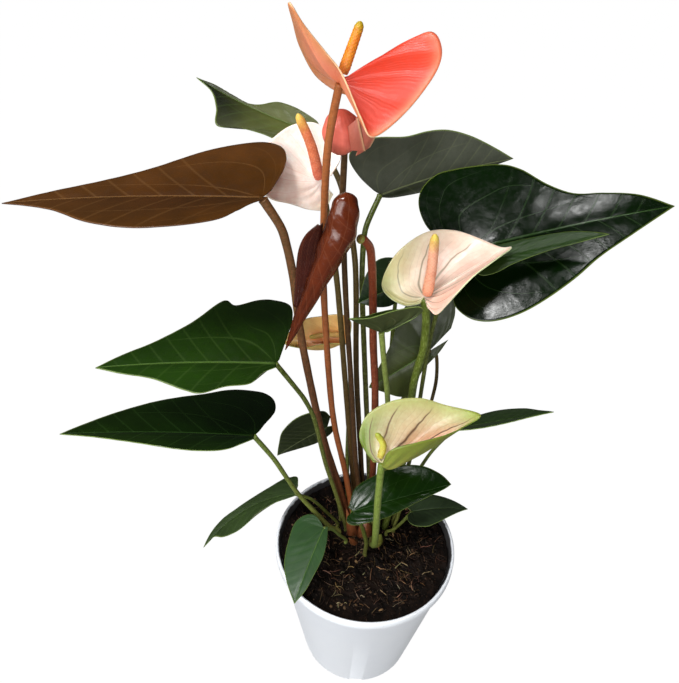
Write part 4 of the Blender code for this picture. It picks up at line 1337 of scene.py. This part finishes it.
@dataclass
class Bud:
    """A rolled spathe: an overlapping ball with two curled edges at its side."""

    centre: Point = (-28.0, 12.0, 376.0)
    radii: Point = (8.6, 8.6, 9.8)
    rows: int = 60
    columns: int = 96

    def ball(self) -> np.ndarray:
        """The rolled ball, with the roll's outer edge as a step round it."""
        up = np.linspace(0, math.pi, self.rows + 1)[:, None]
        turn = np.linspace(0, 2 * math.pi, self.columns + 1)[None]
        wound = ((turn - 0.5 - 0.55 * np.cos(up)) % (2 * math.pi)) / (2 * math.pi)
        step = 0.93 + 0.09 * wound ** 2.5 + 0.012 * np.cos(turn * 7 + up * 2)
        ripple = 1 + 0.02 * np.sin(up * 9 + turn * 2)
        width = np.sin(up) * step * ripple
        height = -np.cos(up) + 0.0 * turn
        shape = np.stack([self.radii[0] * width * np.cos(turn), self.radii[1] * width * np.sin(turn),
                          self.radii[2] * height], -1)
        shape[:, -1] = shape[:, 0]
        return np.array(self.centre) + shape

    def curl(self, rows: list) -> np.ndarray:
        """A curled strip between an inner and an outer edge."""
        line = smooth_rows(rows, 30)
        share = np.linspace(0, 1, 13)[None, :, None]
        inner, outer, lift = line[:, None, :3], line[:, None, 3:6], line[:, None, 6:7]
        return inner + (outer - inner) * share + np.array((0, -1, 0.2)) * lift * np.sin(math.pi * share)

    def build(self, finishes: list[bpy.types.Material]) -> None:
        """Makes the ball and its curled edges."""
        points = self.ball()
        up = np.linspace(-1, 1, self.rows + 1)
        fan = np.stack(np.meshgrid(np.linspace(-1, 1, self.columns + 1), np.linspace(0, 1, self.rows + 1)),
                       -1)
        colour = painted(tone(246, 124, 106), (Patch(tone(190, 100, 80), (0.3, 0.15), (0.6, 0.25), 0.8),
                                              Patch(tone(252, 150, 130), (-0.4, 0.6), (0.4, 0.3), 0.6),
                                              Patch(tone(170, 70, 58), (0.75, 0.7), (0.15, 0.3), 0.6)), fan)
        ball = shaped_grid("spathe_bud_ball", points, {"fan": fan, "blade": fan},
                           {"upper": colour, "under": colour})
        ball.data.materials.append(finishes[0])
        fix_normals(ball)
        hand_in(ball, Slot.CORAL, "spathe_bud")
        strips = {
            "outer": [(-22, 6, 384, -16, 9, 389, 1.0), (-21, 4, 379, -14, 6, 384, 1.6),
                      (-20, 4, 373, -13, 5, 378, 1.6), (-21, 6, 368, -15, 7, 372, 1.0)],
            "inner": [(-25, 4, 381, -21, 3, 385, 0.6), (-24, 3, 376, -19, 2, 378, 1.0),
                      (-23, 4, 371, -17, 4, 371, 0.8)],
        }
        for name, rows in strips.items():
            points = self.curl(rows)
            fan = np.stack(np.meshgrid(np.linspace(-1, 1, points.shape[1]),
                                       np.linspace(0.2, 0.8, points.shape[0])), -1)
            edge = Patch(tone(246, 206, 156), (1.0, 0.5), (0.22, 2.0), 1.0)
            colour = painted(tone(190, 104, 84), (edge,), fan)
            strip = shaped_grid(f"spathe_bud_{name}_curl", points, {"fan": fan, "blade": fan},
                                {"upper": colour, "under": colour})
            thicken(strip, 0.5, finishes)
            hand_in(strip, Slot.CORAL)


def fix_normals(piece: bpy.types.Object) -> None:
    """Turns a closed mesh's faces outwards."""
    mesh = bmesh.new()
    mesh.from_mesh(piece.data)
    bmesh.ops.recalc_face_normals(mesh, faces=mesh.faces)
    mesh.to_mesh(piece.data)
    mesh.free()


# ---------------------------------------------------------------- the two rolled leaves

FOLDED = Spathe(
    "folded", node="leaf_folded", base=(-3, -4, 282), sag=(0.2, -0.4, -1), face=(0, 0, 1), tip_at=0.55,
    margin=((0, -6, 284, 0), (15, -4, 294, 0), (14, -5, 299, 0), (2, -8, 298, 0), (-10, -11, 295, 0),
            (-20, -11, 294, 0), (-12, -5, 292, 0), (-4, 0, 292, 0), (4, 3, 292, 0), (9, 4, 289, 0),
            (0, -1, 283, 0)),
    upper=tone(44, 60, 20), under=tone(58, 68, 34))


@dataclass
class FurledLeaf:
    """The young leaf that is still rolled up: a glossy hood with a dark flap behind it."""

    # Down the roll: the middle (x, y, z), how far it goes to each side, and its depth.
    roll: tuple = ((-24.5, -13, 358.6, 0.4, 0.3), (-25, -13, 356.5, 4.4, 3.0), (-25, -13, 352, 6.6, 5.0),
                   (-25.5, -13, 345, 7.6, 6.2), (-27, -13.5, 337.5, 8.6, 6.6), (-30.5, -14, 328, 7.6, 6.0),
                   (-35, -15, 317, 5.8, 4.6), (-39.5, -16, 306, 4.5, 3.6), (-44, -17.5, 295, 3.0, 2.5),
                   (-47.5, -19, 286, 1.5, 1.4), (-50, -20, 280, 0.3, 0.3))
    # Down the flap: its inner edge (x, y, z) and its outer edge (x, y, z).
    flap: tuple = ((-34, -12, 344, -36, -9, 342), (-34, -12, 338, -41.5, -8, 336),
                   (-35, -12, 330, -44.5, -8, 329), (-37, -13, 321, -45.6, -9, 320),
                   (-40, -14, 312, -46, -11, 311), (-43.5, -15, 303, -46.3, -14, 302))
    rows: int = 120
    columns: int = 72

    def build(self, finishes: list[bpy.types.Material]) -> None:
        """Makes the roll and the flap."""
        line = smooth_rows(self.roll, self.rows)
        turn = np.linspace(0, 2 * math.pi, self.columns + 1)[None]
        share = np.linspace(0, 1, self.rows + 1)[:, None]
        wound = ((turn - 2.2 - 1.3 * share) % (2 * math.pi)) / (2 * math.pi)
        step = 0.9 + 0.13 * wound ** 2
        crease = 0.10 * np.exp(-(((turn - 4.05) / 0.28) ** 2))
        veins = 0.035 * np.sin(share * 40 + np.cos(turn - 4.05) * 5.0) * np.clip(share * 6, 0, 1)
        lumps = 0.03 * np.sin(share * 13 + turn * 3.0)
        size = step + crease + (veins + lumps) * np.clip((1 - share) * 3, 0, 1)
        across = np.cos(turn) * size * line[:, 3:4]
        deep = np.sin(turn) * size * line[:, 4:5]
        points = line[:, None, :3] + np.stack([across, deep, 0.16 * across], -1)
        points[:, -1] = points[:, 0]
        points = np.concatenate([line[:1, None, :3].repeat(self.columns + 1, 1), points,
                                 line[-1:, None, :3].repeat(self.columns + 1, 1)])
        rows = points.shape[0]
        fan = np.stack(np.meshgrid(np.linspace(-1, 1, self.columns + 1), np.linspace(0.1, 0.85, rows)), -1)
        shares = np.stack(np.meshgrid(np.linspace(-1, 1, self.columns + 1), np.linspace(0, 1, rows)),
                          -1)[..., ::-1]
        colour = painted(tone(92, 34, 10), (Patch(tone(58, 22, 8), (0.0, 0.5), (0.35, 0.6), 0.6),
                                            Patch(tone(112, 48, 20), (0.35, 0.3), (0.2, 0.4), 0.5)), fan)
        body = shaped_grid("leaf_furled_roll", points, {"fan": fan, "blade": shares}, {"upper": colour})
        body.data.materials.append(finishes[0])
        fix_normals(body)
        hand_in(body, Slot.BRONZE, "leaf_furled")

        edges = smooth_rows(self.flap, 50)
        out = np.linspace(0, 1, 19)[None, :, None]
        inner, outer = edges[:, None, :3], edges[:, None, 3:]
        points = inner + (outer - inner) * out + np.array((0, -2.2, 0)) * np.sin(math.pi * out * 0.9)
        fan = np.stack(np.meshgrid(np.linspace(0, 1, 19), np.linspace(0.1, 0.9, 51)), -1)
        colour = painted(tone(58, 18, 10), (Patch(tone(92, 40, 22), (1.0, 0.4), (0.15, 1.0), 0.7),), fan)
        flap = shaped_grid("leaf_furled_flap", points, {"fan": fan, "blade": fan},
                           {"upper": colour, "under": colour})
        thicken(flap, 0.5, finishes)
        hand_in(flap, Slot.BRONZE)


@dataclass
class Crown:
    """The short stem in the soil, with papery sheaths round the stalks and a green bud."""

    def sheath(self, name: str, points: tuple[Point, ...], widths: tuple[float, ...], low: Colour,
               high: Colour,
               finish: bpy.types.Material, slot: Slot, flat: float = 0.75) -> None:
        """A closed sheath or scale along a short route."""
        count = 40
        rows = smooth_rows([[*point, width] for point, width in zip(points, widths)], count)
        turn = np.linspace(0, 2 * math.pi, 25)
        shape = 1 + 0.05 * np.cos(turn * 5)
        shape = shape * np.sqrt(np.cos(turn) ** 2 + (flat * np.sin(turn)) ** 2)
        shape[-1] = shape[0]
        wall_points = tube_points([Vector(row[:3]) for row in rows], rows[:, 3:4] * shape[None], 24)
        share = np.linspace(0, 1, wall_points.shape[0])[:, None, None]
        colour = np.array(low) * (1 - share) + np.array(high) * share + np.zeros((1, 25, 1))
        piece = shaped_grid(name, wall_points, {"wrap": wrap_map(*wall_points.shape[:2], 20.0)},
                            {"upper": colour})
        piece.data.materials.append(finish)
        if name == "crown_stem":
            hand_in(piece, slot, "crown")
        else:
            hand_in(piece, slot)

    def build(self, green: bpy.types.Material, brown: bpy.types.Material) -> None:
        """Makes the stem, its sheaths and its bud."""
        self.sheath("crown_stem", ((0, 8, 101), (0, 8, 108), (0, 8, 114), (0.5, 8, 118)), (6, 5.4, 4.0, 1.2),
                    tone(72, 44, 26), tone(104, 58, 30), brown, Slot.RED_STALK)
        self.sheath("crown_bud", ((6, 2, 101), (7, 0, 106), (8.5, -1.5, 112), (10, -2.5, 119)),
                    (3.6, 4.2, 3.4, 0.5), tone(122, 112, 50), tone(112, 118, 44), green, Slot.GREEN_STALK)
        self.sheath("crown_husk_left", ((-7, 8, 101), (-9, 8, 108), (-11, 8, 118), (-13.5, 9, 128)),
                    (3.4, 3.6, 2.4, 0.4), tone(92, 50, 26), tone(122, 74, 42), brown, Slot.RED_STALK)
        self.sheath("crown_husk_front", ((-6, 2, 101), (-7.5, 0, 106), (-9, -2, 111), (-11, -3.5, 115)),
                    (2.6, 2.6, 1.8, 0.4), tone(96, 56, 30), tone(112, 66, 36), brown, Slot.RED_STALK)
        self.sheath("crown_husk_right", ((5, 12, 101), (6, 12, 109), (7, 12, 120), (7.5, 13, 133)),
                    (3.0, 3.2, 2.2, 0.4), tone(84, 66, 30), tone(96, 92, 40), green, Slot.GREEN_STALK)


# ---------------------------------------------------------------- the studio

@dataclass
class Studio:
    """A pale floor, soft lights and the camera."""

    camera_place: Point = (-24.0, -258.0, 455.0)
    pitch: float = 35.3
    roll: float = 2.9
    lens: float = 32.0

    def build(self) -> None:
        """Sets up the floor, the lights and the camera."""
        mesh = bmesh.new()
        bmesh.ops.create_grid(mesh, x_segments=8, y_segments=8, size=6.0)
        floor = finished_object("floor", mesh)
        material, graph, shader = new_material("pale_floor")
        cloud = graph.noise(graph.place(), 3.0, 2.0)
        graph.feed(shader.inputs["Base Color"], graph.mix(cloud, tone(30, 30, 30), tone(24, 24, 24)))
        shader.inputs["Roughness"].default_value = 0.9
        shader.inputs["Specular IOR Level"].default_value = 0.0
        shader.inputs["Emission Color"].default_value = (1.0, 1.0, 1.0, 1.0)
        rays = graph.node("ShaderNodeLightPath").outputs
        bounced = graph.maths("MULTIPLY_ADD", rays["Is Diffuse Ray"], 0.8, 0.12)
        graph.feed(shader.inputs["Emission Strength"],
                   graph.maths("MULTIPLY_ADD", rays["Is Camera Ray"], 0.88, bounced))
        floor.data.materials.append(material)

        world = bpy.data.worlds.new("studio_air")
        world.use_nodes = True
        air = Graph(world.node_tree)
        sky = world.node_tree.nodes["Background"]
        sky.inputs["Color"].default_value = (1.0, 1.0, 1.0, 1.0)
        seen = air.node("ShaderNodeLightPath").outputs["Is Camera Ray"]
        air.feed(sky.inputs["Strength"], air.maths("MULTIPLY_ADD", seen, 0.93, 0.07))
        bpy.context.scene.world = world
        bpy.context.scene.view_settings.view_transform = "Standard"
        bpy.context.scene.view_settings.look = "None"

        self.lamp("window", (-0.5, -0.68, 1.7), (0.0, 0.0, 0.3), 0.28, 15.0)
        self.lamp("skylight", (0.24, -0.26, 1.7), (0.05, 0.0, 0.3), 0.2, 4.0)
        self.lamp("left_panel", (-1.5, -0.7, 1.4), (0.0, 0.0, 0.25), 0.6, 18.0)
        self.lamp("front_panel", (-0.5, -1.7, 0.8), (0.0, 0.0, 0.25), 0.8, 20.0)

        pitch, roll = math.radians(self.pitch), math.radians(self.roll)
        right, ahead = Vector((1, 0, 0)), Vector((0, math.cos(pitch), -math.sin(pitch)))
        down = Vector((0, -math.sin(pitch), -math.cos(pitch)))
        across = right * math.cos(roll) - down * math.sin(roll)
        up = -(right * math.sin(roll) + down * math.cos(roll))
        turn = Matrix((across, up, -ahead)).transposed().to_4x4()
        camera = bpy.data.cameras.new("camera")
        camera.lens = self.lens
        camera.sensor_width = 36.0
        camera.clip_start = 0.01
        holder = bpy.data.objects.new("camera", camera)
        holder.matrix_world = Matrix.Translation(Vector(self.camera_place) * MM) @ turn
        bpy.context.scene.collection.objects.link(holder)
        bpy.context.scene.camera = holder

    @staticmethod
    def lamp(name: str, place: Point, target: Point, size: float, power: float) -> None:
        """A square soft light that points at a target. Its place is in metres."""
        light = bpy.data.lights.new(name, "AREA")
        light.shape = "SQUARE"
        light.size = size
        light.energy = power
        holder = bpy.data.objects.new(name, light)
        aim = (Vector(target) - Vector(place)).to_track_quat("-Z", "Y")
        holder.matrix_world = Matrix.Translation(place) @ aim.to_matrix().to_4x4()
        bpy.context.scene.collection.objects.link(holder)


# ---------------------------------------------------------------- the whole plant

class Plant:
    """Every piece of the plant, with the finishes that they share."""

    def __init__(self) -> None:
        green_rim = RimFinish("leaf_edge", tone(116, 140, 62)).build()
        self.green = [BladeFinish("leaf_top", tone(86, 116, 50)).build(),
                      BladeFinish("leaf_underside", tone(132, 142, 96), paint="under", vein_share=0.26,
                                  rib_share=0.7, roughness=0.48, coat=0.05, relief=0.5).build(), green_rim]
        self.wet = [BladeFinish("leaf_top_glossy", tone(60, 92, 40), roughness=0.15, coat=0.06,
                                vein_share=0.2,
                                rib_share=0.3, relief=0.4, shine=0.18, crumple=0.9).build(), self.green[1],
                    green_rim]
        self.bronze = [BladeFinish("bronze_top", tone(134, 96, 52), vein_share=0.24, rib_share=0.45,
                                   roughness=0.34, rim=tone(110, 70, 30)).build(),
                       BladeFinish("bronze_underside", tone(140, 80, 50), paint="under", roughness=0.4,
                                   coat=0.1).build(), RimFinish("bronze_edge", tone(84, 50, 24)).build()]
        self.furled = [BladeFinish("furled_top", tone(150, 92, 60), vein_share=0.22, rib_share=0.0, ribs=14.0,
                                   roughness=0.18, coat=0.35, relief=0.9, crumple=1.6,
                                   rim=tone(90, 40, 20)).build(),
                       BladeFinish("furled_underside", tone(120, 60, 40), paint="under", roughness=0.2,
                                   coat=0.5,
                                   relief=0.6).build(), self.bronze[2]]
        self.green_stalk = StalkFinish("stalk_green", tone(150, 164, 92)).build()
        self.red_stalk = StalkFinish("stalk_red", tone(150, 84, 56)).build()
        self.dark_stalk = StalkFinish("stalk_dark", tone(110, 84, 52)).build()

    def petals(self, name: str, vein: Colour, share: float, rim: Colour,
               **more: float) -> list[bpy.types.Material]:
        """The finishes of a spathe's two sides and edge."""
        return [PetalFinish(f"{name}_top", vein, vein_share=share, **more).build(),
                PetalFinish(f"{name}_underside", vein, paint="under", vein_share=share * 0.7, roughness=0.42,
                            coat=0.1).build(), RimFinish(f"{name}_edge", rim).build()]

    def leaves(self) -> None:
        """Builds the blades and the folded and furled leaves."""
        for blade in BLADES:
            if blade.name == "bronze":
                blade.build(self.bronze, Slot.BRONZE)
            elif blade.name in ("large_right", "low_front", "low_left"):
                blade.build(self.wet, Slot.LEAF)
            else:
                blade.build(self.green, Slot.LEAF)
        FOLDED.build(self.green, Slot.LEAF, 0.45)
        FurledLeaf().build(self.furled)

    def stalks(self) -> None:
        """Builds the leaf and flower stalks."""
        green, pale, olive = tone(64, 76, 14), tone(104, 124, 46), tone(84, 72, 30)
        brown, red, dark = tone(84, 44, 26), tone(122, 52, 26), tone(58, 36, 22)
        looks = {
            "stalk_bronze": (Slot.RED_STALK, tone(104, 76, 44), brown),
            "stalk_furled": (Slot.RED_STALK, red, brown),
            "stalk_back_left": (Slot.DARK_STALK, olive, dark),
            "stalk_hanging": (Slot.DARK_STALK, olive, dark),
            "stalk_back_right": (Slot.GREEN_STALK, green, tone(82, 66, 34)),
            "stalk_large_right": (Slot.GREEN_STALK, green, olive),
            "stalk_folded": (Slot.GREEN_STALK, tone(112, 128, 58), tone(96, 100, 44)),
            "stalk_low_left": (Slot.GREEN_STALK, tone(92, 110, 40), tone(118, 116, 56)),
            "stalk_front": (Slot.GREEN_STALK, tone(88, 104, 46), tone(112, 124, 60)),
            "flower_stalk_coral": (Slot.DARK_STALK, tone(168, 96, 50), tone(120, 60, 30)),
            "flower_stalk_bud": (Slot.DARK_STALK, tone(74, 52, 28), tone(66, 40, 24)),
            "flower_stalk_blush": (Slot.DARK_STALK, tone(96, 84, 40), tone(74, 48, 26)),
            "flower_stalk_cream": (Slot.GREEN_STALK, tone(82, 98, 20), tone(72, 84, 26)),
            "flower_stalk_lime": (Slot.GREEN_STALK, tone(104, 124, 46), tone(84, 94, 40)),
            "flower_stalk_olive": (Slot.GREEN_STALK, pale, tone(116, 116, 60)),
        }
        finishes = {Slot.RED_STALK: self.red_stalk, Slot.DARK_STALK: self.dark_stalk,
                    Slot.GREEN_STALK: self.green_stalk}
        nodes = sorted(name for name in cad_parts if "stalk_" in name)
        for node in nodes:
            slot, top, foot = looks.get(node, (Slot.GREEN_STALK, green, tone(92, 90, 42)))
            knee = 1.0 if node.startswith("flower") else 1.22
            mark = tone(112, 128, 52) if node == "stalk_furled" else None
            Stalk(node, slot, finishes[slot], top, foot, knee=knee, knee_colour=mark).build()

    def flowers(self) -> None:
        """Builds the spathes, their spikes and the bud."""
        coral = self.petals("coral", tone(214, 70, 50), 0.35, tone(248, 196, 150), count=9.0, width=0.02,
                            roughness=0.3)
        blush = self.petals("blush", tone(226, 160, 140), 0.6, tone(240, 216, 190), count=7.0, bend=0.3)
        cream = self.petals("cream", tone(120, 112, 84), 0.8, tone(214, 222, 170), width=0.05)
        lime = self.petals("lime", tone(96, 64, 40), 0.95, tone(120, 144, 50), grain=0.2, width=0.06)
        olive = self.petals("olive", tone(140, 110, 60), 0.4, tone(170, 170, 90))
        for slot, finishes in ((Slot.CORAL, coral), (Slot.BLUSH, blush), (Slot.CREAM, cream),
                               (Slot.OLIVE, olive)):
            SPATHES[slot].build(finishes, slot)
        LIME.build(lime, Slot.CREAM)
        dots = {Slot.ORANGE_SPIKE: tone(248, 190, 90), Slot.PEACH_SPIKE: tone(252, 214, 186),
                Slot.YELLOW_SPIKE: tone(236, 226, 150)}
        spikes = {slot: SpikeFinish(f"{slot.value}_skin", dot).build() for slot, dot in dots.items()}
        for spadix in SPADICES:
            spadix.build(spikes[spadix.slot])
        Bud().build(coral)

    def build(self) -> None:
        """Builds the plant from the soil up."""
        Crown().build(self.green_stalk, self.red_stalk)
        self.stalks()
        self.leaves()
        self.flowers()


def main() -> None:
    """Builds the studio and the whole pot plant."""
    logging.basicConfig(level=logging.INFO, format="%(name)s %(message)s")
    Studio().build()
    Pot().build()
    Soil().build()
    Plant().build()


if __name__ == "__main__":
    main()
